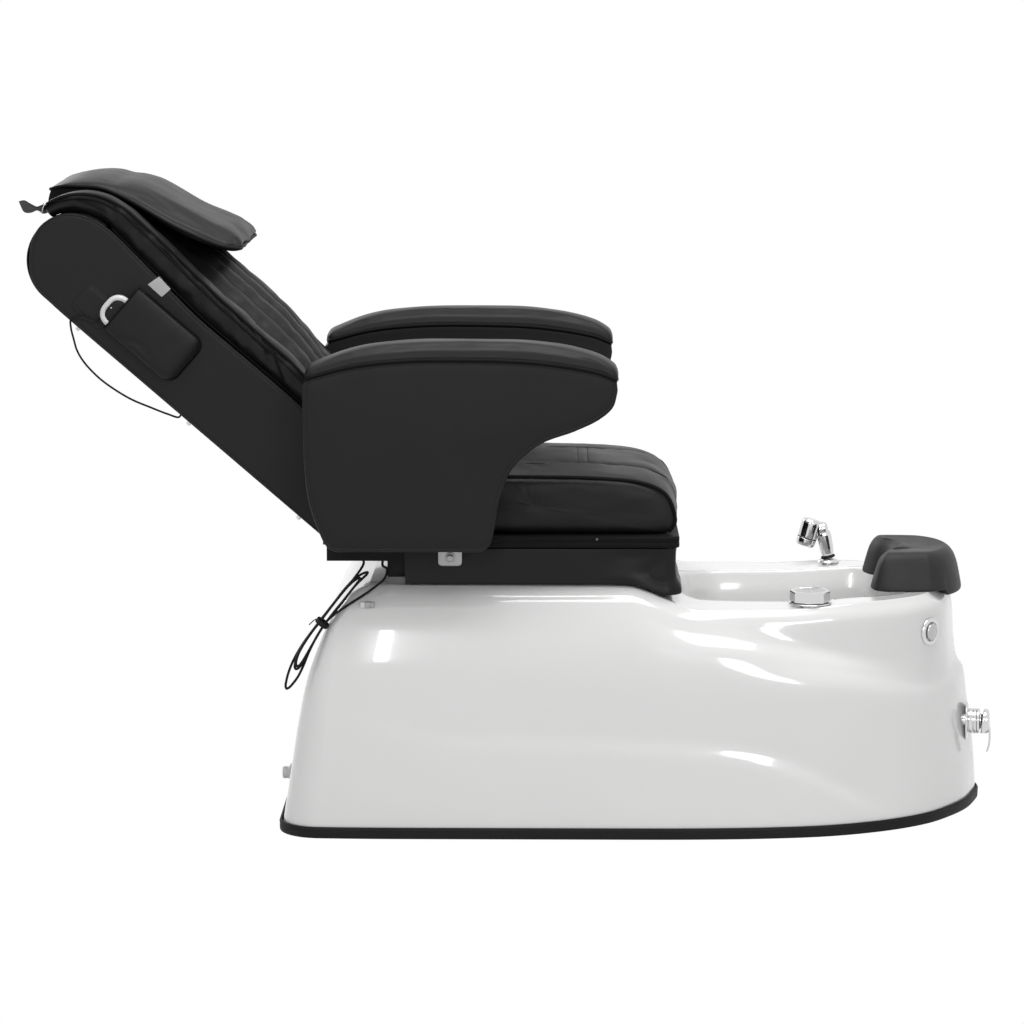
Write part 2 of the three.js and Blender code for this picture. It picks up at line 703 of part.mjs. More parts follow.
const headTop = headMiddle.clone().addScaledVector(HEAD_AXIS, -SHOWER_HEAD.length / 2);
const headCan = turned(
  [
    [0, 0],
    [SHOWER_HEAD.r - 4, 0],
    [SHOWER_HEAD.r, 4],
    [SHOWER_HEAD.r, SHOWER_HEAD.length - 4],
    [SHOWER_HEAD.r - 3, SHOWER_HEAD.length],
    [0, SHOWER_HEAD.length - 2],
  ],
  headTop,
  HEAD_AXIS,
);
const ball = solid(new THREE.SphereGeometry(11, 12, 8).translate(swivel.x - 1, swivel.y, swivel.z + 5.2));
put("shower_head", headCan.add(rod(headMiddle, swivel.clone().add(V3(-1, 0, 5.2)), 9)).add(ball), CHROME);
put(
  "shower_hose",
  rod(showerSeat.clone().setZ(showerSeat.z - 150), showerSeat.clone().setZ(neckFoot.z - 1.2), SHOWER.hose),
  STEEL,
);

// Air button: bezel ring with a sprung plunger.
const PLUNGER = 15;
put(
  "button_bezel",
  turned(
    [
      [BUTTON_SHANK - 2, -20],
      [BUTTON_SHANK, -20],
      [BUTTON_SHANK, GAP],
      [BUTTON.r, GAP],
      [BUTTON.r - 2, 4],
      [PLUNGER + RUN, 5],
      [PLUNGER + RUN, 1.5],
      [BUTTON_SHANK - 2, 1.5],
      [BUTTON_SHANK - 2, -20],
    ],
    buttonPlace.seat,
    buttonPlace.out,
  ),
  CHROME,
);
put(
  "air_button",
  turned(
    [[0, -14], [9, -14], [9, 4.9], [PLUNGER, 4.9], [PLUNGER, 7.6], [PLUNGER - 3, 9], [0, 9.6]],
    buttonPlace.seat,
    buttonPlace.out,
  ),
  CHROME,
);

// Mixer: fixed body with its wall plate, a turning cap and a lever that lifts.
const bodyLength = 20;
put(
  "mixer_body",
  turned([[0, GAP], [MIXER.r, GAP], [MIXER.r - 2, 5], [0, 5]], mixerPlace.seat, mixerNormal, 24).add(
    turned(
      [[0, -26], [MIXER_SHANK, -26], [MIXER_SHANK, 5], [MIXER.body, 8], [MIXER.body, bodyLength], [0, bodyLength]],
      mixerPlace.seat,
      mixerPlace.out,
      24,
    ),
  ),
  CHROME,
);
const capFoot = mixerPlace.seat.clone().addScaledVector(mixerPlace.out, bodyLength + GAP);
const LEVER_PIVOT = 3; // middle of the cap's dome, out from the cap's foot
const DOME = 14;
const capFace = 6;
const pivotPoint = capFoot.clone().addScaledVector(mixerPlace.out, LEVER_PIVOT);
const sphere = (radius) => new THREE.SphereGeometry(radius, 20, 12).translate(...pivotPoint.toArray());
put(
  "mixer_cap",
  turned([[0, 0], [MIXER.body, 0], [MIXER.body, capFace], [0, capFace]], capFoot, mixerPlace.out, 24).add(
    solid(sphere(DOME)).intersect(rod(capFoot.clone().addScaledVector(mixerPlace.out, 1), pivotPoint.clone().addScaledVector(mixerPlace.out, 30), 20)),
  ),
  CHROME,
);

// Lever: a shell over the dome, with a blade that curves down in front of it.
function mixerLever() {
  const out = mixerPlace.out;
  const shellCut = 9.5;
  const beyond = rod(pivotPoint.clone().addScaledVector(out, shellCut), pivotPoint.clone().addScaledVector(out, 40), 30);
  const side = V3(-out.y, out.x, 0);
  const stations = [[18, 10, 14], [19, -6, 15], [19.5, -24, 13], [19, -42, 11], [17, -58, 10]];
  const rings = stations.map(([ahead, z, half]) =>
    [[-half, -1.7], [half, -1.7], [half, 1.7], [-half, 1.7]].map(([across, t]) =>
      pivotPoint.clone().addScaledVector(out, ahead + t).addScaledVector(side, across).add(V3(0, 0, z)),
    ),
  );
  const cap = solid(sphere(DOME + RUN + 4)).intersect(beyond);
  return cap.add(loft(rings)).subtract(solid(sphere(DOME + RUN)));
}
put("mixer_lever", mixerLever(), CHROME);

// ---------------------------------------------------------------- footrest saddle
// Kidney plan: bowed over the base's bow, hollowed towards the basin between two heel lobes.
// Two pegs under it drop into holes in the rim.

function footrest() {
  const bottom = BOW_RIM_Z + GAP;
  const waist = 34;
  const plan = (inset) => {
    const { rear, front, half } = FOOTREST;
    const bow = arc(0, 0, 1, -72, 72, 10).map(([c, s]) => [front - 96 + (96 - inset) * c, (half - inset) * s]);
    const lobe = (sign) => [
      [rear + 40, sign * (half - inset)],
      [rear + inset + 8, sign * (half - 14 - inset)],
      [rear + inset, sign * (half - 44)],
      [rear + inset + 6, sign * 62],
    ];
    return [...bow, ...lobe(1), [rear + waist + inset, 26], [rear + waist + inset, -26], ...lobe(-1).reverse()];
  };
  const levels = [
    [2, 0],
    [0, 6],
    [3, 30],
    [12, 54],
    [24, 64],
    [44, 67],
  ];
  const rings = levels.map(([inset, h]) =>
    plan(inset).map(([x, y]) => V3(x, y, bottom + h)),
  );
  const peg = (sign) => {
    const { x, y, r, depth } = FOOT_PEG;
    return rod(V3(x, sign * y, bottom - depth), V3(x, sign * y, bottom + 4), r);
  };
  return joined(loft(rings), peg(-1), peg(1));
}
put("footrest_pad", footrest(), FOAM);

// ---------------------------------------------------------------- seat slide
const TRACK_Z = DECK_Z + GAP;
const RUNNER_Z = TRACK_Z + TRACK.height + GAP;
const SEAT_Z = RUNNER_Z + RUNNER_HEIGHT; // underside of the seat rails, on their slide runners
const BOARD_Z = SEAT_Z + SEAT_RAIL.height + GAP;
const BOARD_TOP = BOARD_Z + BOARD.height;

putPair(
  "slide_track",
  (sign) => box(TRACK.rear, TRACK.front, sign * TRACK.inner, sign * TRACK.outer, TRACK_Z, TRACK_Z + TRACK.height),
  STEEL,
);
// ---------------------------------------------------------------- backrest frame of reference
const cosTilt = Math.cos(radians(BACK_TILT));
const sinTilt = Math.sin(radians(BACK_TILT));
const backXZ = ([u, v]) => [HIP.x - u * cosTilt + v * sinTilt, HIP.z + u * sinTilt + v * cosTilt];
function backPoint(u, y, v) {
  const [x, z] = backXZ([u, v]);
  return V3(x, y, z);
}
const U_AXIS = V3(-cosTilt, 0, sinTilt);
const [PIVOT_X, PIVOT_Z] = backXZ([PIVOT.u, PIVOT.v]);

const acrossPivot = (radius, half) => rod(V3(PIVOT_X, -half, PIVOT_Z), V3(PIVOT_X, half, PIVOT_Z), radius, 24);

// ---------------------------------------------------------------- seat frame
putPair(
  "seat_rail",
  (sign) => {
    const ear = SEAT_RAIL.earRadius;
    const top = SEAT_Z + SEAT_RAIL.height;
    const rearTop = BOARD_TOP + 11;
    const outline = [
      [SEAT_RAIL.rear, SEAT_RAIL.rearBottom],
      [TRACK.rear, SEAT_RAIL.rearBottom],
      [TRACK.rear, SEAT_Z],
      [SEAT_RAIL.front, SEAT_Z],
      [SEAT_RAIL.front, top],
      [BOARD.rear - 10, top],
      [BOARD.rear - 10, rearTop],
      [PIVOT_X + ear + 12, rearTop],
      ...arc(PIVOT_X, PIVOT_Z, ear, 0, 180, 8),
      [SEAT_RAIL.rear, rearTop],
    ];
    const web = plate(outline, sign * TRACK.inner, sign * TRACK.outer);
    const [inner, outer] = [sign * (TRACK.inner + 4), sign * (TRACK.outer - 4)];
    const runner = box(TRACK.rear, TRACK.front + 25, inner, outer, RUNNER_Z, SEAT_Z + 1);
    return web.add(runner).subtract(acrossPivot(PIVOT.r + RUN, BOARD.half));
  },
  BLACK_STEEL,
);

const ANCHOR = V3(ACTUATOR.anchorX, 0, ACTUATOR.anchorZ);
const CROSS_X = ACTUATOR.anchorX + 14;

function seatCross() {
  const half = TRACK.inner - GAP;
  const beam = box(CROSS_X, CROSS_X + 30, -half, half, SEAT_Z, SEAT_Z + SEAT_RAIL.height - 4);
  const lug = (y) => box(ACTUATOR.anchorX - 9, CROSS_X + 1, y - 2, y + 2, ANCHOR.z - 9, ANCHOR.z + 9);
  const pin = rod(V3(ANCHOR.x, -18, ANCHOR.z), V3(ANCHOR.x, 18, ANCHOR.z), 4);
  return joined(beam, lug(-16), lug(16), pin);
}
put("seat_cross", seatCross(), BLACK_STEEL);

const crankPin = V3(PIVOT_X, 0, PIVOT_Z - CRANK);
const board = box(BOARD.rear, BOARD.front, -BOARD.half, BOARD.half, BOARD_Z, BOARD_TOP);
put("seat_board", board.subtract(rod(ANCHOR, crankPin, ACTUATOR.tube + 4)), VINYL);

// Cushion: side profile with a waterfall front, crowned across, sewn channels along its length.
function seatCushion() {
  const bottom = BOARD_TOP + 0.5;
  const { rear, front, edge } = CUSHION;
  const outline = [
    [rear + 14, 0, 0],
    [rear + 2, 16, 0],
    [rear, edge * 0.5, 0],
    [rear + 6, edge * 0.88, 0.2],
    [rear + 30, edge, 0.7],
    [rear + 140, edge + 1, 1],
    [rear + 260, edge + 1, 1],
    [rear + 370, edge - 3, 1],
    [front - 48, edge - 17, 0.95],
    [front - 17, edge - 38, 0.6],
    [front - 3, edge - 64, 0.3],
    [front, 30, 0.1],
    [front - 3, 14, 0],
    [front - 16, 0, 0],
  ];
  const channels = [100];
  const ring = (y, inset) => {
    const share = Math.max(0, 1 - (y / CUSHION.half) ** 2) ** 0.7;
    const groove = channels.some((at) => Math.abs(Math.abs(y) - at) < 1) ? 4 : 0;
    const middle = (rear + front) / 2;
    return outline.map(([x, h, w]) => {
      const drawn = Math.sign(x - middle) * Math.min(inset, 12);
      const rise = h + w * (CUSHION.crown * share - groove) - (h > 40 ? inset * 0.6 : -inset * 0.2);
      return V3(x - drawn, y, bottom + rise);
    });
  };
  const half = CUSHION.half;
  const across = [
    [half, 9],
    [half - 5, 3],
    [half - 16, 0],
    [180, 0],
    [150, 0],
    [105, 0],
    [100, 0],
    [95, 0],
    [50, 0],
  ];
  const rings = [
    ...across.map(([y, inset]) => ring(-y, inset)),
    ring(0, 0),
    ...across.map(([y, inset]) => ring(y, inset)).reverse(),
  ];
  return loft(rings);
}
put("seat_cushion", seatCushion(), VINYL);

// Skirt: three-sided moulded cover under the board, its lower edge following the deck.
function skirtLine(inset) {
  const { rear, front, half } = SKIRT;
  const r = 30;
  const side = [rear, -250, -120, DECK_END, 6, 24, front - r - 14].map((x) => [x, inset - half]);
  const near = [...side, ...arc(front - r, r - half, r - inset, -90, 0, 4)];
  const far = near.map(([x, y]) => [x, -y]).reverse();
  return [...near, ...far];
}

function seatSkirt() {
  const top = BOARD_Z - GAP;
  const deckAt = (x, share) => landing(V3(x, share * SKIRT.half, DECK_Z + REACH), UP.clone().negate()).z;
  const foot = (x) => Math.max(topZ(x) + 3, deckAt(x, 0) + 2, deckAt(x, 1) + 2, SKIRT.lowest);
  const flare = 4;
  const outerTop = skirtLine(flare);
  const innerTop = skirtLine(flare + SKIRT.wall);
  const outerFoot = skirtLine(0);
  const innerFoot = skirtLine(SKIRT.wall);
  const rings = outerTop.map((_, i) => [
    V3(outerTop[i][0] - flare * 0.5, outerTop[i][1], top),
    V3(outerFoot[i][0], outerFoot[i][1], foot(outerFoot[i][0])),
    V3(innerFoot[i][0], innerFoot[i][1], foot(outerFoot[i][0])),
    V3(innerTop[i][0] - flare * 0.5, innerTop[i][1], top),
  ]);
  const made = loft(rings);
  const notch = (sign) =>
    box(
      BRACKET.front - BRACKET.width - 2,
      BRACKET.front + 2,
      sign * (SKIRT.half - 14),
      sign * (SKIRT.half + 5),
      BRACKET.bottom - 2,
      top + 5,
    );
  return made.subtract(notch(-1)).subtract(notch(1));
}
put("seat_skirt", seatSkirt(), DARK_PLASTIC);

// ---------------------------------------------------------------- arms
const ARM_SEAM = [
  [-552, 812],
  [-482, 830],
  [-396, 840],
  [-279, 842],
  [-156, 837],
  [-53, 820],
  [-24, 808],
];
const ARM_FRONT = [
  [-20, 788],
  [-30, 761],
  [-53, 740],
  [-96, 719],
  [-156, 696],
  [-204, 653],
  [-225, 600],
  [-237, 536],
  [-247, 513],
  [-259, 506],
];
const ARM_REAR = [
  [-510, 506],
  [-524, 516],
  [-543, 556],
  [-556, 600],
  [-562, 652],
  [-565, 739],
  [-565, 800],
];

// Upholstered slab: an outline in X and Z, drawn in a little at both faces.
function slab(outline, y0, y1, draws) {
  const flat = outline.map(([x, z]) => new THREE.Vector2(x, z));
  if (THREE.ShapeUtils.isClockWise(flat)) flat.reverse();
  const loop = flat.map((p) => V3(p.x, p.y, 0));
  const n = loop.length;
  const rings = draws.map(([share, inset]) =>
    loop.map((p, i) => {
      const moved = moveInward(loop, p, i, inset);
      return V3(moved.x, y0 + share * (y1 - y0), moved.y);
    }),
  );
  const last = (rings.length - 1) * n;
  const index = [];
  for (let k = 0; k < last; k += n) {
    for (let i = 0; i < n; i++) {
      const a = k + i;
      const b = k + ((i + 1) % n);
      index.push(a, b, b + n, a, b + n, a + n);
    }
  }
  for (const [a, b, c] of THREE.ShapeUtils.triangulateShape(flat, [])) {
    index.push(a, c, b, a + last, b + last, c + last);
  }
  const geometry = new THREE.BufferGeometry().setFromPoints(rings.flat());
  geometry.setIndex(index);
  return solid(geometry);
}

putPair(
  "arm_panel",
  (sign) => {
    const outline = [...ARM_SEAM, ...ARM_FRONT, ...ARM_REAR].map(([x, z]) => [x, z]);
    const draws = [[0, 5], [0.06, 0], [0.94, 0], [1, 5]];
    return slab(outline, sign * ARM.inner, sign * ARM.outer, draws);
  },
  VINYL,
);

// Arm pad: rolled top over the seam, its cross-section drawn from edge to crown.
putPair(
  "arm_pad",
  (sign) => {
    const thick = [13, 24, 26, 27, 28, 24, 16];
    const lower = ARM_SEAM.map(([x, z]) => [x - 1, z + 0.6]);
    const sections = lower.map(([x, z], i) => {
      const t = thick[i];
      const y0 = ARM.inner - 1.5;
      const y1 = ARM.outer + 1.5;
      const middle = (y0 + y1) / 2;
      return [
        [y0 + 3, z],
        [y0, z + t * 0.3],
        [y0 + 4, z + t * 0.75],
        [y0 + 20, z + t * 0.97],
        [middle, z + t],
        [y1 - 20, z + t * 0.97],
        [y1 - 4, z + t * 0.75],
        [y1, z + t * 0.3],
        [y1 - 3, z],
      ].map(([y, h]) => V3(x, sign * y, h));
    });
    const end = (ring, dx) => {
      const middle = ring.reduce((sum, p) => sum.add(p), V3(0, 0, 0)).divideScalar(ring.length);
      return ring.map((p) => p.clone().lerp(middle, 0.35).add(V3(dx, 0, 0)));
    };
    return loft([end(sections[0], -11), ...sections, end(sections[sections.length - 1], 5)]);
  },
  VINYL,
);

// Bracket: a plate down the arm's inner face, turned in under the seat rail.
putPair(
  "arm_bracket",
  (sign) => {
    const rear = BRACKET.front - BRACKET.width;
    const outer = ARM.inner - GAP;
    const inner = outer - BRACKET.wall;
    const upright = box(rear, BRACKET.front, sign * inner, sign * outer, BRACKET.bottom, BRACKET.top);
    const foot = box(rear, BRACKET.front, sign * (TRACK.outer + GAP), sign * outer, BRACKET.bottom, BRACKET.bottom + BRACKET.wall);
    return upright.add(foot);
  },
  STEEL,
);

// ---------------------------------------------------------------- recline drive
const driveAxis = crankPin.clone().sub(ANCHOR).normalize();
const driveLength = crankPin.distanceTo(ANCHOR);
const driveAt = (s) => ANCHOR.clone().addScaledVector(driveAxis, s);

function actuatorTube() {
  const eye = rod(V3(ANCHOR.x, -13, ANCHOR.z), V3(ANCHOR.x, 13, ANCHOR.z), 9);
  const barrel = turned(
    [
      [0, 4],
      [ACTUATOR.tube, 4],
      [ACTUATOR.tube, ACTUATOR.length],
      [ACTUATOR.rod + RUN, ACTUATOR.length],
      [ACTUATOR.rod + RUN, 40],
      [0, 40],
    ],
    ANCHOR,
    driveAxis,
  );
  const hole = rod(V3(ANCHOR.x, -20, ANCHOR.z), V3(ANCHOR.x, 20, ANCHOR.z), 4 + RUN);
  return eye.add(barrel).subtract(hole);
}
put("recline_actuator_tube", actuatorTube(), STEEL);

const EYE = { clear: 4.5, rim: 5 };

function actuatorRod() {
  const bar = rod(driveAt(48), driveAt(driveLength - 24), ACTUATOR.rod);
  const yoke = box(-26, -18, -13, 13, -9, 9);
  const eyeR = CRANK_PIN + EYE.clear;
  const cheek = (y) => rod(V3(0, y, 0), V3(0, y + 4, 0), eyeR + EYE.rim, 20).add(box(-26, -9, y, y + 4, -8, 8));
  const fork = joined(yoke, cheek(-12.6), cheek(8.6)).subtract(rod(V3(0, -30, 0), V3(0, 30, 0), eyeR, 20));
  const turn = new THREE.Quaternion().setFromUnitVectors(V3(1, 0, 0), driveAxis);
  const placed = geometryOf(fork).applyQuaternion(turn).translate(crankPin.x, crankPin.y, crankPin.z);
  return solid(placed).add(bar);
}
put("recline_actuator_rod", actuatorRod(), STEEL);

function reclineShaft() {
  const half = TRACK.outer - 1;
  const shaft = acrossPivot(PIVOT.r, half);
  const arm = box(PIVOT_X - 9, PIVOT_X + 9, -6, 6, PIVOT_Z - CRANK, PIVOT_Z);
  const boss = rod(V3(PIVOT_X, -6, PIVOT_Z - CRANK), V3(PIVOT_X, 6, PIVOT_Z - CRANK), 9);
  const pin = rod(V3(PIVOT_X, -15, PIVOT_Z - CRANK), V3(PIVOT_X, 15, PIVOT_Z - CRANK), CRANK_PIN);
  return joined(shaft, arm, boss, pin);
}
put("recline_shaft", reclineShaft(), STEEL);

// ---------------------------------------------------------------- backrest structure
function backFrame() {
  const { inner, wall } = FRAME_PLATE;
  const reach = BACK_HALF - BACK_WALL - GAP;
  const side = [
    ...arc(PIVOT.u, PIVOT.v, 26, 110, 290, 8),
    [110, 30],
    [620, 30],
    [620, 74],
    [110, 104],
  ].map(backXZ);
  const bearing = acrossPivot(PIVOT.r + GAP, BACK_HALF);
  const cheek = (sign) => plate(side, sign * inner, sign * (inner + wall)).subtract(bearing);
  const beam = (u, v) => plate([[u, v], [u + 20, v], [u + 20, v + 18], [u, v + 18]].map(backXZ), -reach, reach);
  return joined(cheek(-1), cheek(1), beam(600, 44), beam(100, 12 + COVER_WALL));
}
put("back_frame", backFrame(), BLACK_STEEL);

const backOutline = [
  [0, 0],
  ...arc(HEAD.u, HEAD.r, HEAD.r, -90, 97, 14),
  [420, BACK_DEPTH],
  [34, BACK_DEPTH],
  [4, 60],
];
putPair(
  "back_side",
  (sign) => plate(backOutline.map(backXZ), sign * (BACK_HALF - BACK_WALL), sign * BACK_HALF),
  VINYL,
);

function rearCover() {
  const reach = BACK_HALF - BACK_WALL - GAP;
  const line = (inset) => [[30, inset], ...arc(HEAD.u, HEAD.r, HEAD.r - inset, -90, 92, 12)];
  return plate([...line(0), ...line(COVER_WALL).reverse()].map(backXZ), -reach, reach);
}
put("back_rear_cover", rearCover(), VINYL);

// Back pad: a fluted middle between two bolsters, bent round the head end of the shell.
const FLUTES = [140, 100, 60, 20];

function padSection(edge, crown) {
  const half = BACK_HALF;
  const flute = (y) => Math.cos((Math.PI * y) / 330);
  const mids = [120, 80, 40, 0];
  const rows = [
    [half - 4, 0],
    [half, edge * 0.5],
    [half - 3, edge * 0.92],
    [half - 14, edge * 1.06],
    [200, edge * 1.0],
    [158, edge * 0.86],
  ];
  FLUTES.forEach((y, i) => {
    rows.push([y, edge * 0.9 + crown * flute(y) - 7 * Math.min(1, crown / 20)]);
    rows.push([mids[i], edge * 0.9 + crown * flute(mids[i])]);
  });
  const far = rows.slice(0, -1).reverse().map(([y, h]) => [-y, h]);
  return [...rows, ...far];
}

function backPad() {
  const lift = 0.6;
  const headArc = [92, 80, 68, 56, 44, 32, 20];
  const stations = [
    [PAD.start + 4, BACK_DEPTH, 90, 30, 8],
    [PAD.start + 20, BACK_DEPTH, 90, PAD.edge - 4, 16],
    [140, BACK_DEPTH, 90, PAD.edge - 2, 24],
    [210, BACK_DEPTH, 90, PAD.edge - 4, 31],
    [270, BACK_DEPTH, 90, PAD.edge, 40],
    [330, BACK_DEPTH, 90, PAD.edge, PAD.crown + 5],
    [400, BACK_DEPTH, 91, PAD.edge + 2, PAD.crown + 5],
    [470, BACK_DEPTH + 3.6, 93, PAD.edge + 2, PAD.crown],
    [530, BACK_DEPTH + 8, 94, PAD.edge + 2, 28],
    [590, BACK_DEPTH + 12.4, 94, PAD.edge, 16],
    [630, BACK_DEPTH + 15.4, 93, PAD.edge - 2, 8],
    ...headArc.map((angle, i) => {
      const [u, v] = arc(HEAD.u, HEAD.r, HEAD.r, angle, angle, 1)[0];
      return [u, v, angle, PAD.edge - 5 - i * 3.4, 3];
    }),
  ];
  const rings = stations.map(([u, v, angle, edge, crown]) => {
    const [nu, nv] = [Math.cos(radians(angle)), Math.sin(radians(angle))];
    return padSection(edge, crown).map(([y, h]) => backPoint(u + nu * (h + lift), y, v + nv * (h + lift)));
  });
  return loft(rings);
}
put("back_pad", backPad(), VINYL);

// Head pillow: a flap sewn along its top edge, lying over the upper back. Stations run from the
// seam to the free end: place of the welted side edge, counted from the shell's front, the way its
// face looks, rise of the crown and of the underside, share of the half width.
function headPillow() {
  const stations = [
    [HEAD.u + HEAD.r + 30, -8, 20, 7, -6, 0.95],
    [HEAD.u + HEAD.r + 21, 6, 32, 9, -6, 0.98],
    [HEAD.u + HEAD.r - 3, 28, 48, 14, -3, 1],
    [691, 55.5, 64, 16, -3, 1],
    [640, 72, 76, 23, -4, 1],
    [575, 88, 78, 23, -5, 1],
    [512, 103, 76, 23, -7, 1],
    [470, 116, 74, 20, -9, 0.99],
    [446, 131, 72, 12, -6, 0.95],
  ];
  const rings = stations.map(([u, v, angle, crown, under, share]) => {
    const [nu, nv] = [Math.cos(radians(angle)), Math.sin(radians(angle))];
    const half = PILLOW_HALF * share;
    const top = [[1, 0], [0.965, 0.5], [0.85, 0.78], [0.55, 0.95], [0, 1]];
    const outline = [
      ...top.map(([y, h]) => [y, h * crown + 2]),
      ...top.slice(0, -1).reverse().map(([y, h]) => [-y, h * crown + 2]),
      ...top.slice(1).map(([y, h]) => [-y, h * under - 1.4]),
      ...top.slice(1, -1).reverse().map(([y, h]) => [y, h * under - 1.4]),
    ];
    return outline.map(([y, h]) => backPoint(u + nu * h, y * half, BACK_DEPTH + v + nv * h));
  });
  return loft(rings);
}
put("head_pillow", headPillow(), VINYL);

// ---------------------------------------------------------------- massage unit
const backBox = (u0, u1, y0, y1, v0, v1) => plate([[u0, v0], [u1, v0], [u1, v1], [u0, v1]].map(backXZ), y0, y1);
const rotorU = CARRIAGE.u + CARRIAGE.length / 2;

function massageCarriage() {
  const half = FRAME_PLATE.inner - 0.5;
  const { u, length, v, plate: sheet, cheek } = CARRIAGE;
  const floor = backBox(u, u + length, -half, half, v, v + sheet);
  const ear = (sign) => backBox(rotorU - 20, rotorU + 20, sign * cheek, sign * (cheek + 6), v, ROTOR.v + 18);
  const motor = backBox(u + 16, u + length - 16, -34, 34, v + 1, ROTOR.v - ROTOR.shaft - 6);
  const hole = rod(backPoint(rotorU, -140, ROTOR.v), backPoint(rotorU, 140, ROTOR.v), ROTOR.shaft + RUN);
  return joined(floor, ear(-1), ear(1), motor).subtract(hole);
}
put("massage_carriage", massageCarriage(), DARK_PLASTIC);

function kneadingRotor() {
  const shaft = rod(backPoint(rotorU, -130, ROTOR.v), backPoint(rotorU, 130, ROTOR.v), ROTOR.shaft);
  const disc = (y, offset) =>
    rod(backPoint(rotorU + offset, y - 11, ROTOR.v), backPoint(rotorU + offset, y + 11, ROTOR.v), ROTOR.disc, 20);
  return joined(shaft, disc(-72, ROTOR.throw), disc(72, -ROTOR.throw));
}
put("kneading_rotor", kneadingRotor(), DARK_PLASTIC);

// ---------------------------------------------------------------- pocket, remote and cords
const POCKET_FACE = BACK_HALF + GAP;
const pocketThick = REMOTE.thick + 2 * POCKET.wall + 4;

function roundedBox(u0, u1, v0, v1, r, y0, y1) {
  const outline = [
    ...arc(u1 - r, v1 - r, r, 0, 90, 3),
    ...arc(u0 + r, v1 - r, r, 90, 180, 3),
    ...arc(u0 + r, v0 + r, r, 180, 270, 3),
    ...arc(u1 - r, v0 + r, r, 270, 360, 3),
  ];
  return plate(outline.map(backXZ), y0, y1);
}

function remotePocket() {
  const { u, length, v, width, wall } = POCKET;
  const outer = roundedBox(u, u + length, v, v + width, 20, -POCKET_FACE - pocketThick, -POCKET_FACE);
  const hollow = roundedBox(u + wall, u + length + 40, v + wall, v + width - wall, 17, wall - POCKET_FACE - pocketThick, -POCKET_FACE - wall);
  return outer.subtract(hollow);
}
put("remote_pocket", remotePocket(), VINYL);

const remoteBack = -POCKET_FACE - POCKET.wall - 0.7;
const remoteFront = remoteBack - REMOTE.thick;
const KEY_PROUD = 0.8;
const KEY_TRAVEL = 1.2;
const remoteButtons = { up: 470, down: 440 };
const REMOTE_KEY = 7;
const remoteKeyPoint = (u, y) => backPoint(u, y, REMOTE.v + REMOTE.width / 2);

function remoteHandset() {
  const { u, length, v, width } = REMOTE;
  let made = roundedBox(u, u + length, v, v + width, 24, remoteFront, remoteBack);
  for (const at of Object.values(remoteButtons)) {
    const well = rod(remoteKeyPoint(at, remoteFront - 2), remoteKeyPoint(at, remoteFront + 5), REMOTE_KEY + 2 * GAP);
    made = made.subtract(well);
  }
  return made;
}
put("remote", remoteHandset(), GREY_PLASTIC);
for (const [name, at] of Object.entries(remoteButtons)) {
  const key = rod(remoteKeyPoint(at, remoteFront - KEY_PROUD), remoteKeyPoint(at, remoteFront + 5 - GAP - KEY_TRAVEL), REMOTE_KEY);
  put(`remote_button_${name}`, key, DARK_PLASTIC);
}

// The remote's lead leaves the handset's rear edge, passes round the side panel and hangs in a
// bow behind the rear cover, which it enters square.
const remoteEdge = (remoteBack + remoteFront) / 2;
const CORD_ENTRY = { u: 336, y: -229 };
put(
  "remote_cord",
  tube(
    [
      backPoint(553, remoteEdge, REMOTE.v - GAP),
      backPoint(553, remoteEdge, REMOTE.v - 7),
      backPoint(566, -256, 23),
      backPoint(582, -254, 15),
      backPoint(588, -253, 4),
      backPoint(579, -252, -7),
      backPoint(563, -251, -19),
      backPoint(545, -250, -31),
      backPoint(522, -248, -39),
      backPoint(488, -246, -43),
      backPoint(459, -243, -42),
      backPoint(420, -240, -36),
      backPoint(384, -236, -25),
      backPoint(354, -232, -15),
      backPoint(CORD_ENTRY.u, CORD_ENTRY.y, -7),
      backPoint(CORD_ENTRY.u, CORD_ENTRY.y, -GAP),
    ],
    REMOTE_CORD / 2,
    8,
    42,
  ),
  RUBBER,
);

// The seat's cable harness: one slack lead, both ends up against the rail, wound into long loops
// that hang tied together down the base's rear corner. Turning ends are shares of the spine.
const HANK = { pitch: 6.3, turns: [0, 1, 0.05, 0.8, 0.12, 0.77, 0.06], start: 0.42, end: 5.5, tie: 0.46 };
const RAIL_UNDER = SEAT_RAIL.rearBottom - GAP;
const spine = new THREE.CatmullRomCurve3([
  V3(-450, -240, 462),
  V3(-480, -252, 441),
  V3(-512, -270, 404),
  V3(-545, -278, 362),
  V3(-571, -284, 320),
  V3(-587, -287, 285),
  V3(-601, -289, 256),
]);

function hankPoint(t) {
  const turn = Math.min(Math.floor(t), HANK.turns.length - 2);
  const share = ease(t - turn, 0, 1, HANK.turns[turn], HANK.turns[turn + 1]);
  const width = along([[0, 8], [0.3, 6], [HANK.tie, 4.4], [0.62, 8], [0.82, 13], [1, 12]], share);
  const heading = spine.getTangent(share);
  const across = V3(heading.z, 0, -heading.x).normalize();
  const at = spine.getPoint(share).addScaledVector(across, width * Math.sin(Math.PI * t));
  return at.add(V3(0, (-HANK.pitch * t) / 2, 0));
}

function leastSelfGap(curve, diameter) {
  const points = curve.getSpacedPoints(700);
  const skip = Math.ceil((4 * diameter) / points[0].distanceTo(points[1]));
  let least = Infinity;
  points.forEach((p, i) =>
    points.slice(i + skip).forEach((q) => {
      least = Math.min(least, p.distanceTo(q));
    }),
  );
  return least - diameter;
}

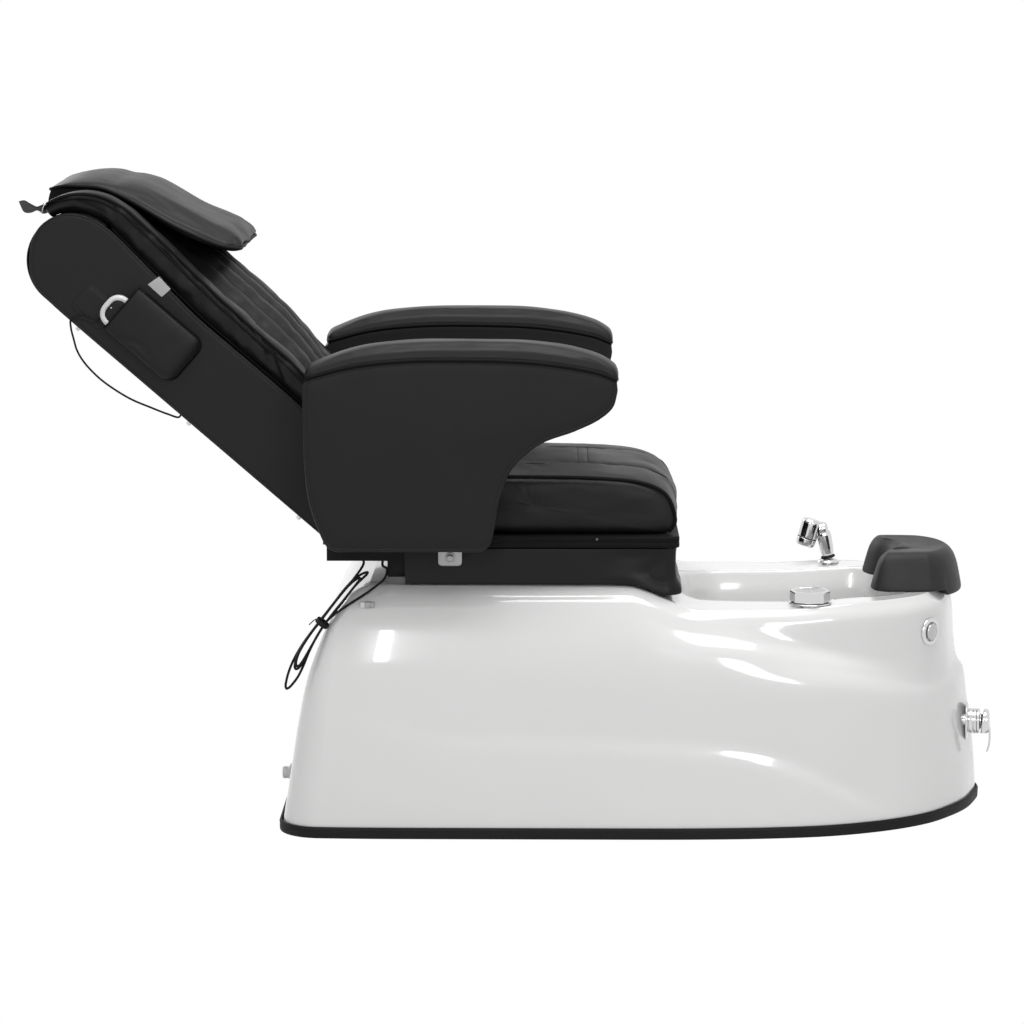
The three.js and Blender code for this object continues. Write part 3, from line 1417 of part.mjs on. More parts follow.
const harnessPoints = [V3(-468, -221, RAIL_UNDER), V3(-468, -221, RAIL_UNDER - 8)];
const HANK_STEPS = 61;
for (let i = 0; i <= HANK_STEPS; i++) {
  harnessPoints.push(hankPoint(HANK.start + ((HANK.end - HANK.start) * i) / HANK_STEPS));
}
harnessPoints.push(V3(-447, -269, 432), V3(-429, -258, 447), V3(-425, -244, 460));
harnessPoints.push(V3(-434, -225, RAIL_UNDER - 9), V3(-434, -225, RAIL_UNDER));
const harnessCurve = new THREE.CatmullRomCurve3(harnessPoints, false, "centripetal");
console.log("least gap of the harness to itself", leastSelfGap(harnessCurve, HARNESS_CORD).toFixed(2));
put("cable_harness", tube(harnessPoints, HARNESS_CORD / 2, 6, 84), RUBBER);

// Loose plug of the harness, lying on the base's shoulder.
function harnessConnector() {
  const onSkin = (x, y) => landing(V3(x, y, DECK_Z + REACH), V3(0, 0, -1));
  const foot = onSkin(-446, -284).add(V3(0, 0, 10));
  const nose = onSkin(-472, -285).add(V3(0, 0, 10));
  const shape = new THREE.BoxGeometry(9, foot.distanceTo(nose), 6).translate(0, foot.distanceTo(nose) / 2, 0);
  return solid(stand(shape, foot, nose.clone().sub(foot)));
}
put("harness_connector", harnessConnector(), WHITE_PLASTIC);

export default chair;
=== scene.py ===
# %% [markdown]
# # Pedicure spa chair
# The looks of the chair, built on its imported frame. Lengths in the code are millimetres and are
# scaled when a mesh is made. +X is the way the sitter faces, near is -Y, the floor is z = 0.

# %% Load the frame
import math

import bmesh
import bpy
import numpy as np
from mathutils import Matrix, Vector, noise
from mathutils.bvhtree import BVHTree
from mathutils.kdtree import KDTree


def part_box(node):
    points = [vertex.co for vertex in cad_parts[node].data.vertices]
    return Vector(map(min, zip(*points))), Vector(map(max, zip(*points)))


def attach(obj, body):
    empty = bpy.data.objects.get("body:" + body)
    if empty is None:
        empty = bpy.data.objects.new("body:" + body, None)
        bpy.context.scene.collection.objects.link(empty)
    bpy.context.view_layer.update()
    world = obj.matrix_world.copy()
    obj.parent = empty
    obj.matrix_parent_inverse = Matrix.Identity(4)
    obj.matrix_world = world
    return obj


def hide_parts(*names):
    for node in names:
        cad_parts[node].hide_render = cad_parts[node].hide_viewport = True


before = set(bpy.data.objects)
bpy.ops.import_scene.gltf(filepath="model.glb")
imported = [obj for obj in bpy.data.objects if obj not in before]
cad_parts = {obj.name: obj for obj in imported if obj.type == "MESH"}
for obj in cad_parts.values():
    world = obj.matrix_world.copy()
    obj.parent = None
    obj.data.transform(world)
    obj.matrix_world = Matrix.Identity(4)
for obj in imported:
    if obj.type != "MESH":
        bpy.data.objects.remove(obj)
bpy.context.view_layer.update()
scene = bpy.context.scene
MM = 0.001
SIDES = (("near", -1), ("far", 1))
UP = (0, 0, 1)

# %% [markdown]
# ## Camera
# Placed from the photograph's own perspective.

# %% Camera
camera = bpy.data.objects.new("camera", bpy.data.cameras.new("camera"))
scene.collection.objects.link(camera)
camera.data.sensor_width = 36
camera.data.lens = 124.875
camera.data.clip_end = 60
camera.location = (-0.13094, -6.40716, 1.51734)
camera.rotation_euler = (math.radians(81.2), 0, math.radians(0.69))
scene.camera = camera
scene.render.resolution_x = scene.render.resolution_y = 1024
scene.view_settings.view_transform = "Standard"
scene.view_settings.exposure = 0
scene.view_settings.gamma = 1
print("camera", round(camera.location.length, 2), "m from the origin")

# %% [markdown]
# ## Effect groups
# Every finish is a Principled shader fed by one shared group, which gives a tone, a roughness and
# a height from the object's own coordinates.


# %% Effect groups
def add_node(tree, kind, inputs, **settings):
    """A new node; each input named is linked where a socket is given, and set to the value otherwise."""
    node = tree.nodes.new("ShaderNode" + kind)
    for key, value in settings.items():
        setattr(node, key, value)
    for key, value in inputs.items():
        if isinstance(value, bpy.types.NodeSocket):
            tree.links.new(value, node.inputs[key])
        else:
            node.inputs[key].default_value = value
    return node


def effect(name, build):
    """A node group with Scale in, and Tone, Rough and Height out, each about 0 to 1."""
    tree = bpy.data.node_groups.new(name, "ShaderNodeTree")
    tree.interface.new_socket("Scale", in_out="INPUT", socket_type="NodeSocketFloat").default_value = 1
    for out in ("Tone", "Rough", "Height"):
        tree.interface.new_socket(out, in_out="OUTPUT", socket_type="NodeSocketFloat")
    source = tree.nodes.new("NodeGroupInput")
    place = tree.nodes.new("ShaderNodeTexCoord").outputs["Object"]

    def calc(kind, a, b):
        return add_node(tree, "Math", {0: a, 1: b}, operation=kind).outputs[0]

    def clouds(scale, detail=3, rough=0.5, squeeze=None):
        where = add_node(tree, "Mapping", {"Vector": place, "Scale": squeeze}).outputs[0] if squeeze else place
        size = calc("MULTIPLY", source.outputs["Scale"], scale)
        inputs = {"Vector": where, "Scale": size, "Detail": detail, "Roughness": rough}
        return add_node(tree, "TexNoise", inputs).outputs[0]

    def cells(scale, feature="F1"):
        size = calc("MULTIPLY", source.outputs["Scale"], scale)
        return add_node(tree, "TexVoronoi", {"Vector": place, "Scale": size}, feature=feature).outputs["Distance"]

    def mix(a, b, share):
        return calc("ADD", calc("MULTIPLY", a, 1 - share), calc("MULTIPLY", b, share))

    def edges():
        bend = tree.nodes.new("ShaderNodeNewGeometry").outputs["Pointiness"]
        return add_node(tree, "MapRange", {"Value": bend, "From Min": 0.49, "From Max": 0.58}).outputs[0]

    sink_node = tree.nodes.new("NodeGroupOutput")
    for out, value in zip(("Tone", "Rough", "Height"), build(clouds, cells, calc, mix, edges)):
        tree.links.new(value, sink_node.inputs[out])
    return tree


def leather_grain(clouds, cells, calc, mix, edges):
    pebbles = cells(620, "SMOOTH_F1")
    creases = calc("MINIMUM", cells(260, "DISTANCE_TO_EDGE"), 0.12)
    tone = mix(mix(clouds(9, 4), clouds(70), 0.4), edges(), 0.25)
    return tone, mix(clouds(14, 4), pebbles, 0.35), mix(mix(pebbles, creases, 0.6), clouds(2400, 2), 0.12)


def gel_surface(clouds, cells, calc, mix, edges):
    return clouds(5), clouds(22, 4), mix(clouds(150, 2), clouds(14, 1), 0.5)


def metal_film(clouds, cells, calc, mix, edges):
    smear = clouds(60, 4, 0.6, (1, 1, 0.25))
    return clouds(30), mix(smear, clouds(500, 2), 0.3), clouds(260)


def powder_coat(clouds, cells, calc, mix, edges):
    return mix(clouds(12, 4), edges(), 0.5), clouds(30), mix(cells(900, "SMOOTH_F1"), clouds(1800, 2), 0.4)


def moulded(clouds, cells, calc, mix, edges):
    return mix(clouds(8), edges(), 0.3), clouds(18, 4), mix(cells(1500), clouds(700), 0.5)


def foam_skin(clouds, cells, calc, mix, edges):
    pinholes = calc("MINIMUM", cells(150), 0.12)
    return mix(clouds(10, 4), clouds(120, 2), 0.4), clouds(16, 4), mix(cells(420, "SMOOTH_F1"), pinholes, 0.3)


LEATHER = effect("leather grain", leather_grain)
GEL_GROUP = effect("gel surface", gel_surface)
METAL = effect("metal film", metal_film)
POWDER = effect("powder coat", powder_coat)
MOULDED = effect("moulded plastic", moulded)
FOAM_GROUP = effect("foam skin", foam_skin)
print("effect groups", len(bpy.data.node_groups))

# %% [markdown]
# ## Finishes
# Each has its colour in linear light, its roughness with a spread, and its bump height in metres.


def finish(name, group, color, rough, bump, scale=1.0, tone=0.12, spread=0.08, shine=0.5, metal=0.0, coat=0.0):
    """A Principled material; a plain number as color is a cool grey."""
    color = color if isinstance(color, tuple) else (color, color, color * 1.01)
    made = bpy.data.materials.new(name)
    made.use_nodes = True
    tree = made.node_tree
    look = tree.nodes.new("ShaderNodeGroup")
    look.node_tree = group
    look.inputs["Scale"].default_value = scale
    ends = {"A": [c * (1 - tone) for c in color] + [1], "B": [min(1, c * (1 + tone)) for c in color] + [1]}
    blend = add_node(tree, "Mix", {"Factor": look.outputs["Tone"], **ends}, data_type="RGBA")
    span = {"From Min": 0.25, "From Max": 0.75, "To Min": max(0.02, rough - spread), "To Max": rough + spread}
    ramp = add_node(tree, "MapRange", {"Value": look.outputs["Rough"], **span})
    lift = add_node(tree, "Bump", {"Height": look.outputs["Height"], "Strength": 0.6, "Distance": bump})
    shader = tree.nodes["Principled BSDF"]
    tree.links.new(blend.outputs["Result"], shader.inputs["Base Color"])
    tree.links.new(ramp.outputs[0], shader.inputs["Roughness"])
    tree.links.new(lift.outputs[0], shader.inputs["Normal"])
    shader.inputs["Specular IOR Level"].default_value = shine
    shader.inputs["Metallic"].default_value = metal
    if coat:
        shader.inputs["Coat Weight"].default_value = coat
        shader.inputs["Coat Roughness"].default_value = 0.04
    made.diffuse_color = (*color, 1)
    return made


GEL = finish("gel coat", GEL_GROUP, (0.77, 0.77, 0.765), 0.16, 0.00006, tone=0.015, spread=0.03, coat=0.7)
VINYL = finish("black vinyl", LEATHER, 0.009, 0.46, 0.00035, tone=0.14, shine=0.2)
# Piping is real welt vinyl, but its colour is darker than the main vinyl as painted shade, so the welts read as the
# shadow in their seams.
PIPING_SEAM_SHADE = finish("piping vinyl with seam shade", LEATHER, 0.004, 0.6, 0.0003, 1.4, 0.15, shine=0.1)
THREAD = finish("thread", MOULDED, 0.012, 0.6, 0.0001, 3)
LINING = finish("black lining", LEATHER, 0.004, 0.85, 0.0003, 2, shine=0.08)
FOAM = finish("foam skin", FOAM_GROUP, 0.022, 0.5, 0.0003, tone=0.16, shine=0.25)
CHROME = finish("chrome", METAL, 0.66, 0.08, 0.00001, tone=0.03, spread=0.03, metal=1.0)
SATIN = finish("satin chrome", METAL, 0.5, 0.24, 0.00002, tone=0.05, metal=1.0)
ZINC = finish("zinc steel", METAL, 0.36, 0.38, 0.00005, metal=0.9)
STEEL = finish("slide steel", METAL, 0.10, 0.42, 0.00004, metal=0.85)
BLACK_STEEL = finish("black powder coat", POWDER, 0.007, 0.55, 0.00015, tone=0.2, shine=0.15)
RUBBER = finish("black rubber", MOULDED, 0.009, 0.6, 0.0002, 0.7, 0.15, shine=0.18)
CORD = finish("cable sheath", MOULDED, 0.005, 0.45, 0.00008, 1.5, 0.15, shine=0.15)
BLACK_PLASTIC = finish("black plastic", MOULDED, 0.008, 0.45, 0.00012, tone=0.15, shine=0.2)
SKIRT_VINYL = finish("skirt vinyl", LEATHER, 0.005, 0.42, 0.00025, 1.2, 0.15, shine=0.2)
GREY_PLASTIC = finish("grey plastic", MOULDED, 0.42, 0.38, 0.0001, tone=0.06)
WHITE_PLASTIC = finish("white plastic", MOULDED, 0.72, 0.35, 0.0001, tone=0.04)
WEBBING = finish("grey webbing", LEATHER, 0.07, 0.7, 0.0004, 2, 0.2, shine=0.3)
LABEL = finish("blank label", MOULDED, 0.46, 0.34, 0.00005, tone=0.08)
print("materials", len(bpy.data.materials))

# %% [markdown]
# ## CAD solids that stay
# The frame, slides, drive and pump parts keep their solids and get a real finish.

# %% Finishes of the CAD solids
KEPT = {
    BLACK_STEEL: "frame_cross_rear frame_cross_mid frame_cross_front deck_support_near deck_support_far "
    "seat_rail_near seat_rail_far seat_cross back_frame",
    STEEL: "slide_track_near slide_track_far recline_shaft recline_actuator_rod",
    BLACK_PLASTIC: "recline_actuator_tube water_pump massage_carriage kneading_rotor",
    RUBBER: "drain_hose",
    GREY_PLASTIC: "control_box",
}
for material, nodes in KEPT.items():
    for node in nodes.split():
        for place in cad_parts[node].material_slots:
            place.material = material
print("CAD solids with their own finish", sum(len(nodes.split()) for nodes in KEPT.values()))

# %% [markdown]
# ## Curves
# Small line builders that the pieces share.


# %% Curve helpers
def catmull(points, count):
    """Centripetal spline through the points, the kind that the part's cords follow."""
    p = np.array(points, float)
    p = np.vstack([2 * p[0] - p[1], p, 2 * p[-1] - p[-2]])
    last = len(points) - 1
    out = []
    for t in np.linspace(0, 1, count):
        at = min(t * last, last - 1e-9)
        i = int(at)
        w = at - i
        a, b, c, d = p[i : i + 4]
        k = [max(np.dot(v, v) ** 0.25, 1e-4) for v in (b - a, c - b, d - c)]
        m1 = ((b - a) / k[0] - (c - a) / (k[0] + k[1]) + (c - b) / k[1]) * k[1]
        m2 = ((c - b) / k[1] - (d - b) / (k[1] + k[2]) + (d - c) / k[2]) * k[1]
        out.append(b + m1 * w + (3 * (c - b) - 2 * m1 - m2) * w**2 + (2 * (b - c) + m1 + m2) * w**3)
    return np.array(out)


def pchip(xs, ys, x):
    """Reading of a smooth curve through the points that never overshoots them."""
    xs, ys = np.array(xs, float), np.array(ys, float)
    h = np.diff(xs)
    slope = np.diff(ys) / h
    m = np.zeros(len(xs))
    m[0], m[-1] = slope[0], slope[-1]
    for i in range(1, len(xs) - 1):
        if slope[i - 1] * slope[i] > 0:
            a, b = 2 * h[i] + h[i - 1], h[i] + 2 * h[i - 1]
            m[i] = (a + b) / (a / slope[i - 1] + b / slope[i])
    x = np.clip(x, xs[0], xs[-1])
    i = np.clip(np.searchsorted(xs, x) - 1, 0, len(h) - 1)
    t = (x - xs[i]) / h[i]
    start = ys[i] * (1 + 2 * t) * (1 - t) ** 2 + h[i] * m[i] * t * (1 - t) ** 2
    return start + ys[i + 1] * t * t * (3 - 2 * t) + h[i] * m[i + 1] * t * t * (t - 1)


def ease(x, x0, x1, a, b):
    """Smooth change from a at x0 to b at x1."""
    t = np.clip((np.asarray(x, float) - x0) / (x1 - x0), 0, 1)
    return a + (b - a) * (1 - np.cos(math.pi * t)) / 2


def squarish(value, power):
    """A sine or cosine bent so that its curve lies between a circle and a square."""
    return np.sign(value) * np.abs(value) ** power


def nose(distance, radius):
    """Share of the full height at a distance from a rounded end."""
    return math.sqrt(max(0.0, 1 - (1 - min(1, distance / radius)) ** 2))


def arc(cx, cy, r, start, end, steps):
    turn = np.radians(np.linspace(start, end, steps + 1))
    return np.stack([cx + r * np.cos(turn), cy + r * np.sin(turn)], 1)


def run_of(points):
    """The distance along a line at each of its points."""
    return np.concatenate([[0], np.cumsum(np.linalg.norm(np.diff(points, axis=0), axis=1))])


def even(points, count, closed=False):
    """The same line with its points spaced evenly."""
    p = np.array(points, float)
    if closed:
        p = np.vstack([p, p[:1]])
    run = run_of(p)
    at = np.linspace(0, run[-1], count + 1)[:-1] if closed else np.linspace(0, run[-1], count)
    return np.stack([np.interp(at, run, p[:, k]) for k in range(p.shape[1])], 1)


def length_of(points):
    return float(run_of(points)[-1])


def box_loop(x0, x1, y0, y1, r, count, steps=6):
    """A rectangle with round corners."""
    corners = [(x1 - r, y1 - r), (x0 + r, y1 - r), (x0 + r, y0 + r), (x1 - r, y0 + r)]
    arcs = [arc(x, y, r, 90 * k, 90 * k + 90, steps) for k, (x, y) in enumerate(corners)]
    return even(np.vstack(arcs), count, True)


def inward_of(loop, reach=1):
    """Unit ways into a closed flat loop; reach is how many points to each side give its direction."""
    way = np.roll(loop, -reach, 0) - np.roll(loop, reach, 0)
    way /= np.linalg.norm(way, axis=1)[:, None]
    x, y = loop.T
    turn = np.sign(x @ np.roll(y, -1) - np.roll(x, -1) @ y)
    return turn * np.stack([-way[:, 1], way[:, 0]], 1)


def upright(flat, y):
    """A flat outline of x and z, stood up at y."""
    return np.column_stack([flat[:, 0], np.full(len(flat), float(y)), flat[:, 1]])


HIP = np.array([-532.0, 513.0])
TILT = math.radians(41)


def back(u, y, v):
    """A point of the backrest: u up its rear face from the hip, v out of it to the sitter."""
    x = HIP[0] - u * math.cos(TILT) + v * math.sin(TILT)
    return np.array([x, y, HIP[1] + u * math.sin(TILT) + v * math.cos(TILT)])


def off_back(row, y, height):
    """A point some height off the line (u, v) of the back, square to it; row is (u, v, degrees, ...)."""
    turn = math.radians(row[2])
    return back(row[0] + math.cos(turn) * height, y, row[1] + math.sin(turn) * height)


def along_back(co):
    """u up the back and v out of it, for points in millimetres."""
    dx, dz = co[:, 0] - HIP[0], co[:, 2] - HIP[1]
    return -dx * math.cos(TILT) + dz * math.sin(TILT), dx * math.sin(TILT) + dz * math.cos(TILT)


print("backrest leans at", round(math.degrees(TILT)), "degrees")

# %% [markdown]
# ## Meshes
# Every piece is made in millimetres, faces out, rides on a body and takes its material.


# %% Mesh helpers
def bake(obj):
    """The object's modifiers become its mesh."""
    made = bpy.data.meshes.new_from_object(obj.evaluated_get(bpy.context.evaluated_depsgraph_get()))
    obj.modifiers.clear()
    obj.data = made


def thicken(obj, wall, offset=-1):
    skin = obj.modifiers.new("wall", "SOLIDIFY")
    skin.thickness = wall * MM
    skin.offset = offset
    bake(obj)


def subdivide(obj):
    mod = obj.modifiers.new("subdivide", "SUBSURF")
    mod.levels = mod.render_levels = 1
    bake(obj)


def piece(name, verts, faces, material, body, replaces=(), smooth=True, fine=False, wall=0):
    mesh = bpy.data.meshes.new(name)
    mesh.from_pydata([tuple(v) for v in np.asarray(verts, float) * MM], [], [tuple(f) for f in faces])
    work = bmesh.new()
    work.from_mesh(mesh)
    bmesh.ops.remove_doubles(work, verts=work.verts, dist=1e-6)
    bmesh.ops.recalc_face_normals(work, faces=work.faces)
    work.to_mesh(mesh)
    work.free()
    mesh.materials.append(material)
    mesh.polygons.foreach_set("use_smooth", [smooth] * len(mesh.polygons))
    obj = bpy.data.objects.new(name, mesh)
    scene.collection.objects.link(obj)
    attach(obj, body)
    if replaces:
        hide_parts(replaces)
    if wall:
        thicken(obj, wall)
    if fine:
        subdivide(obj)
    return obj


def coords(obj):
    co = np.empty(len(obj.data.vertices) * 3)
    obj.data.vertices.foreach_get("co", co)
    return co.reshape(-1, 3) / MM


def normals(obj):
    no = np.empty(len(obj.data.vertices) * 3)
    obj.data.vertices.foreach_get("normal", no)
    return no.reshape(-1, 3)


def move(obj, co):
    obj.data.vertices.foreach_set("co", (np.asarray(co) * MM).ravel())
    obj.data.update()


def loft(rings, caps=1, wrap=True):
    """Faces over rings of equal count; caps says in how many steps the ends close, 0 for open ones."""
    rings = np.array(rings, float)
    m, n = rings.shape[:2]
    verts = list(rings.reshape(-1, 3))
    faces = []
    for i in range(m - 1):
        for j in range(n if wrap else n - 1):
            a, b = i * n + j, i * n + (j + 1) % n
            faces.append((a, b, b + n, a + n))
    for end, steps in zip((0, m - 1), caps if isinstance(caps, tuple) else (caps, caps)):
        if not steps:
            continue
        middle = rings[end].mean(0)
        before = [end * n + j for j in range(n)]
        for k in range(1, steps):
            ring = [len(verts) + j for j in range(n)]
            verts.extend(rings[end] * (1 - k / steps) + middle * (k / steps))
            faces.extend((before[j], before[(j + 1) % n], ring[(j + 1) % n], ring[j]) for j in range(n))
            before = ring
        verts.append(middle)
        faces.extend((before[j], before[(j + 1) % n], len(verts) - 1) for j in range(n))
    return verts, faces


def skin(name, rings, material, body, replaces=(), caps=1, wrap=True, **more):
    """A piece lofted over rings."""
    return piece(name, *loft(rings, caps, wrap), material, body, replaces, **more)


def square_to(way):
    """Two unit ways square to a given one."""
    side = np.cross([0, 0, 1.0], way)
    if np.linalg.norm(side) < 0.1:
        side = np.cross([0, 1.0, 0], way)
    side /= np.linalg.norm(side)
    return side, np.cross(way, side)


def frames_along(points):
    """The way and two steady normals at each point of a line."""
    t = np.gradient(np.array(points, float), axis=0)
    t /= np.linalg.norm(t, axis=1)[:, None]
    side = -square_to(t[0])[0]
    sides = []
    for way in t:
        side = side - way * np.dot(side, way)
        side = side / np.linalg.norm(side)
        sides.append(side)
    return t, np.array(sides), np.cross(t, sides)


def tube(name, points, radius, material, body, sides=10, closed=False, replaces=(), flat=1.0):
    """A round cord along a line, or a strip where flat is below 1."""
    p = np.array(points, float)
    if closed:
        p = np.vstack([p, p[:2]])
    _, n1, n2 = frames_along(p)
    turn = np.linspace(0, 2 * math.pi, sides, endpoint=False)
    across, out = np.cos(turn)[:, None], flat * np.sin(turn)[:, None]
    rings = [c + radius * (across * a + out * b) for c, a, b in zip(p, n1, n2)]
    verts, faces = loft(rings[:-1] if closed else rings, 0 if closed else 1)
    if closed:
        shift = int(np.argmin([np.linalg.norm(np.roll(rings[0], s, 0) - rings[-2]) for s in range(sides)]))
        last = (len(rings) - 2) * sides
        for j in range(sides):
            faces.append((last + j, last + (j + 1) % sides, (j + 1 - shift) % sides, (j - shift) % sides))
    return piece(name, verts, faces, material, body, replaces)


def rounded(profile, r, steps):
    """The profile's corners turned into short arcs."""
    p = [np.array(q, float) for q in profile]
    out = [p[0]]
    for a, b, c in zip(p, p[1:], p[2:]):
        from_b, to_c = a - b, c - b
        la, lc = np.linalg.norm(from_b), np.linalg.norm(to_c)
        if la < 1e-6 or lc < 1e-6:
            continue
        d = min(r, la * 0.45, lc * 0.45)
        start, end = b + from_b / la * d, b + to_c / lc * d
        for t in np.linspace(0, 1, steps + 1):
            out.append((1 - t) ** 2 * start + 2 * t * (1 - t) * b + t * t * end)
    return out + [p[-1]]


def turned(name, profile, at, axis, material, body, node=(), r=0.8, sides=72, steps=3):
    """Turned piece of (radius, height) pairs, its corners eased by r; a closed profile gives a ring."""
    profile = rounded(profile, r, steps)
    way = np.array(axis, float) / np.linalg.norm(axis)
    s1, s2 = square_to(way)
    angle = np.linspace(0, 2 * math.pi, sides, endpoint=False)
    ring = np.cos(angle)[:, None] * s1 + np.sin(angle)[:, None] * s2
    rings = [np.array(at) + way * h + ring * max(q, 0.01) for q, h in profile]
    hollow = profile[0][0] > 0.01 and np.allclose(profile[0], profile[-1])
    return skin(name, rings, material, body, node, 0 if hollow else 1)


def plate(name, x, y, z, r, material, body, node=()):
    """An upright plate with rounded corners between pairs of x, y and z."""
    loop = box_loop(*x, *z, r, 96)
    centre = loop.mean(0)
    edge = 0.8 * np.sign(y[1] - y[0])
    levels = ((0.96, y[0]), (1, y[0] + edge), (1, y[1] - edge), (0.96, y[1]))
    rings = [upright(centre + (loop - centre) * share, at) for share, at in levels]
    return skin(name, rings, material, body, node)


def mirrored(obj, name, body, replaces=()):
    """A copy on the other side of the chair."""
    faces = [tuple(reversed(p.vertices[:])) for p in obj.data.polygons]
    return piece(name, coords(obj) * [1, -1, 1], faces, obj.data.materials[0], body, replaces)


def sink(obj, lines, depth, width, mask=None):
    """Presses a soft groove along lines on a piece."""
    co, no = coords(obj), normals(obj)
    dense = np.vstack([even(line, max(8, int(length_of(line) / 1.5))) for line in lines])
    tree = KDTree(len(dense))
    for i, p in enumerate(dense):
        tree.insert(p, i)
    tree.balance()
    drop = depth * np.exp(-((np.array([tree.find(p)[2] for p in co]) / width) ** 2))
    if mask is not None:
        drop = drop * mask(co, no)
    move(obj, co - no * drop[:, None])


def ruffle(obj, height, size, share=None, seed=0.0, squeeze=(1, 1, 1)):
    """Soft uneven dents and swells, in millimetres."""
    co, no = coords(obj), normals(obj)
    swell = np.array([noise.noise(Vector(p * np.array(squeeze, float) / size + seed)) for p in co])
    if share is not None:
        swell = swell * share(co, no)
    move(obj, co + no * (swell * height)[:, None])


def stitches(name, line, body, pitch, size, radius, material=THREAD):
    """A row of thread stitches along a line."""
    p = even(line, max(2, int(length_of(line) / pitch)))
    turn = np.linspace(0, 2 * math.pi, 5, endpoint=False)
    verts, faces = [], []
    for at, way, n1, n2 in zip(p, *frames_along(p)):
        start = len(verts)
        for along, r in ((-0.5, 0.35), (-0.25, 1), (0.25, 1), (0.5, 0.35)):
            for q in turn:
                verts.append(at + way * along * size + radius * r * (math.cos(q) * n1 + math.sin(q) * n2))
        for k in range(3):
            for j in range(5):
                a, b = start + k * 5 + j, start + k * 5 + (j + 1) % 5
                faces.append((a, b, b + 5, a + 5))
    return piece(name, verts, faces, material, body)


def welt(name, line, body, radius, closed=False, onto=None):
    """A sewn piping along a line; onto lays it on the surface of a piece, a little sunk in."""
    line = even(line, max(12, int(length_of(line) / 5)), closed)
    if onto is not None:
        mesh = onto.data
        tree = BVHTree.FromPolygons([v.co[:] for v in mesh.vertices], [p.vertices[:] for p in mesh.polygons])
        hits = [tree.find_nearest(Vector(p) * MM) for p in line]
        line = np.array([np.array(at) / MM - np.array(normal) * 0.1 for at, normal, _, _ in hits])
    return tube(name, line, radius, PIPING_SEAM_SHADE, body, 9, closed)


# %% [markdown]
# ## Stuffing
# Each cushion is a closed mesh a little small for its place. Cloth with air pressure fills it
# against its pinned seams, and its travel is capped.

# %% Cloth
STUFFED = []


def stuff(obj, pins, rest, pressure, cap, inward):
    """Marks a piece for filling. pins is 1 at each point that a seam or a board holds, rest fills up."""
    held = np.full(len(obj.data.vertices), float(rest))
    given = np.concatenate(pins)[: len(held)]
    held[: len(given)] = given
    STUFFED.append((obj, held, pressure, cap, inward))


def fill_all(frames=16):
    before = []
    for obj, pins, pressure, _, inward in STUFFED:
        co, no = coords(obj), normals(obj)
        before.append(co)
        move(obj, co - no * (inward * (1 - pins))[:, None])
        group = obj.vertex_groups.new(name="seams")
        for i, w in enumerate(pins):
            if w > 0:
                group.add([i], float(w), "REPLACE")
        cloth = obj.modifiers.new("cloth", "CLOTH")
        s = cloth.settings
        s.quality = 5
        s.mass = 0.4
        s.tension_stiffness = s.compression_stiffness = 12
        s.bending_stiffness = 2.5
        s.shrink_min = -0.008
        s.use_pressure = True
        s.uniform_pressure_force = pressure
        s.vertex_group_mass = "seams"
        s.effector_weights.gravity = 0
        cloth.point_cache.frame_start = 1
        cloth.point_cache.frame_end = frames
    scene.frame_start, scene.frame_end = 1, frames
    for f in range(1, frames + 1):
        scene.frame_set(f)
    for (obj, _, _, cap, _), co in zip(STUFFED, before):
        bake(obj)
        shift = coords(obj) - co
        size = np.linalg.norm(shift, axis=1)
        move(obj, co + shift * np.minimum(1, cap / np.maximum(size, 1e-6))[:, None])
        obj.vertex_groups.clear()
        print(obj.name, "moved up to", round(float(np.minimum(size, cap).max()), 1), "mm")
    scene.frame_set(1)


print("pieces marked so far", len(STUFFED))

# %% [markdown]
# ## Cords
# The handset's lead leaves its rear edge, passes round the side panel and enters the rear cover.
# The seat's harness is one lead wound into long loops, which hang tied down the base's corner.

# %% Cords
LEAD_ROUTE = [
    (553, -257.6, 37.7), (553, -257.6, 31), (566, -256, 23), (582, -254, 15), (588, -253, 4),
    (579, -252, -7), (563, -251, -19), (545, -250, -31), (522, -248, -39), (488, -246, -43),
    (459, -243, -42), (420, -240, -36), (384, -236, -25), (354, -232, -15), (336, -229, -7),
    (336, -229, -0.3),
]
lead_line = catmull([back(*p) for p in LEAD_ROUTE], 170)
lead = tube("remote_lead", lead_line, 1.8, CORD, "backrest", 12, replaces="remote_cord")

TURNS = [0, 1, 0.05, 0.8, 0.12, 0.77, 0.06]
SPINE = [(-450, -240, 462), (-480, -252, 441), (-512, -270, 404), (-545, -278, 362), (-571, -284, 320),
    (-587, -287, 285), (-601, -289, 256)]
SPINE_STEPS, HANK_PITCH = 1200, 6.3
spine = catmull(SPINE, SPINE_STEPS + 1)
spine_way = np.gradient(spine, axis=0)
spine_way /= np.linalg.norm(spine_way, axis=1)[:, None]


def on_spine(share):
    """The point, the way and the level way across at that share of the hank's middle line."""
    at = share * SPINE_STEPS
    i = min(int(at), SPINE_STEPS - 1)
    w = at - i
    p = spine[i] * (1 - w) + spine[i + 1] * w
    t = spine_way[i] * (1 - w) + spine_way[i + 1] * w
    across = np.array([t[2], 0, -t[0]])
    return p, t, across / np.linalg.norm(across)


def hank_point(t):
    """A point of the winding after t half turns."""
    turn = min(int(t), len(TURNS) - 2)
    share = float(ease(t - turn, 0, 1, TURNS[turn], TURNS[turn + 1]))
    width = np.interp(share, [0, 0.3, 0.46, 0.62, 0.82, 1], [8, 6, 4.4, 8, 13, 12])
    p, _, across = on_spine(share)
    return p + across * width * math.sin(math.pi * t) + [0, -HANK_PITCH * t / 2, 0]


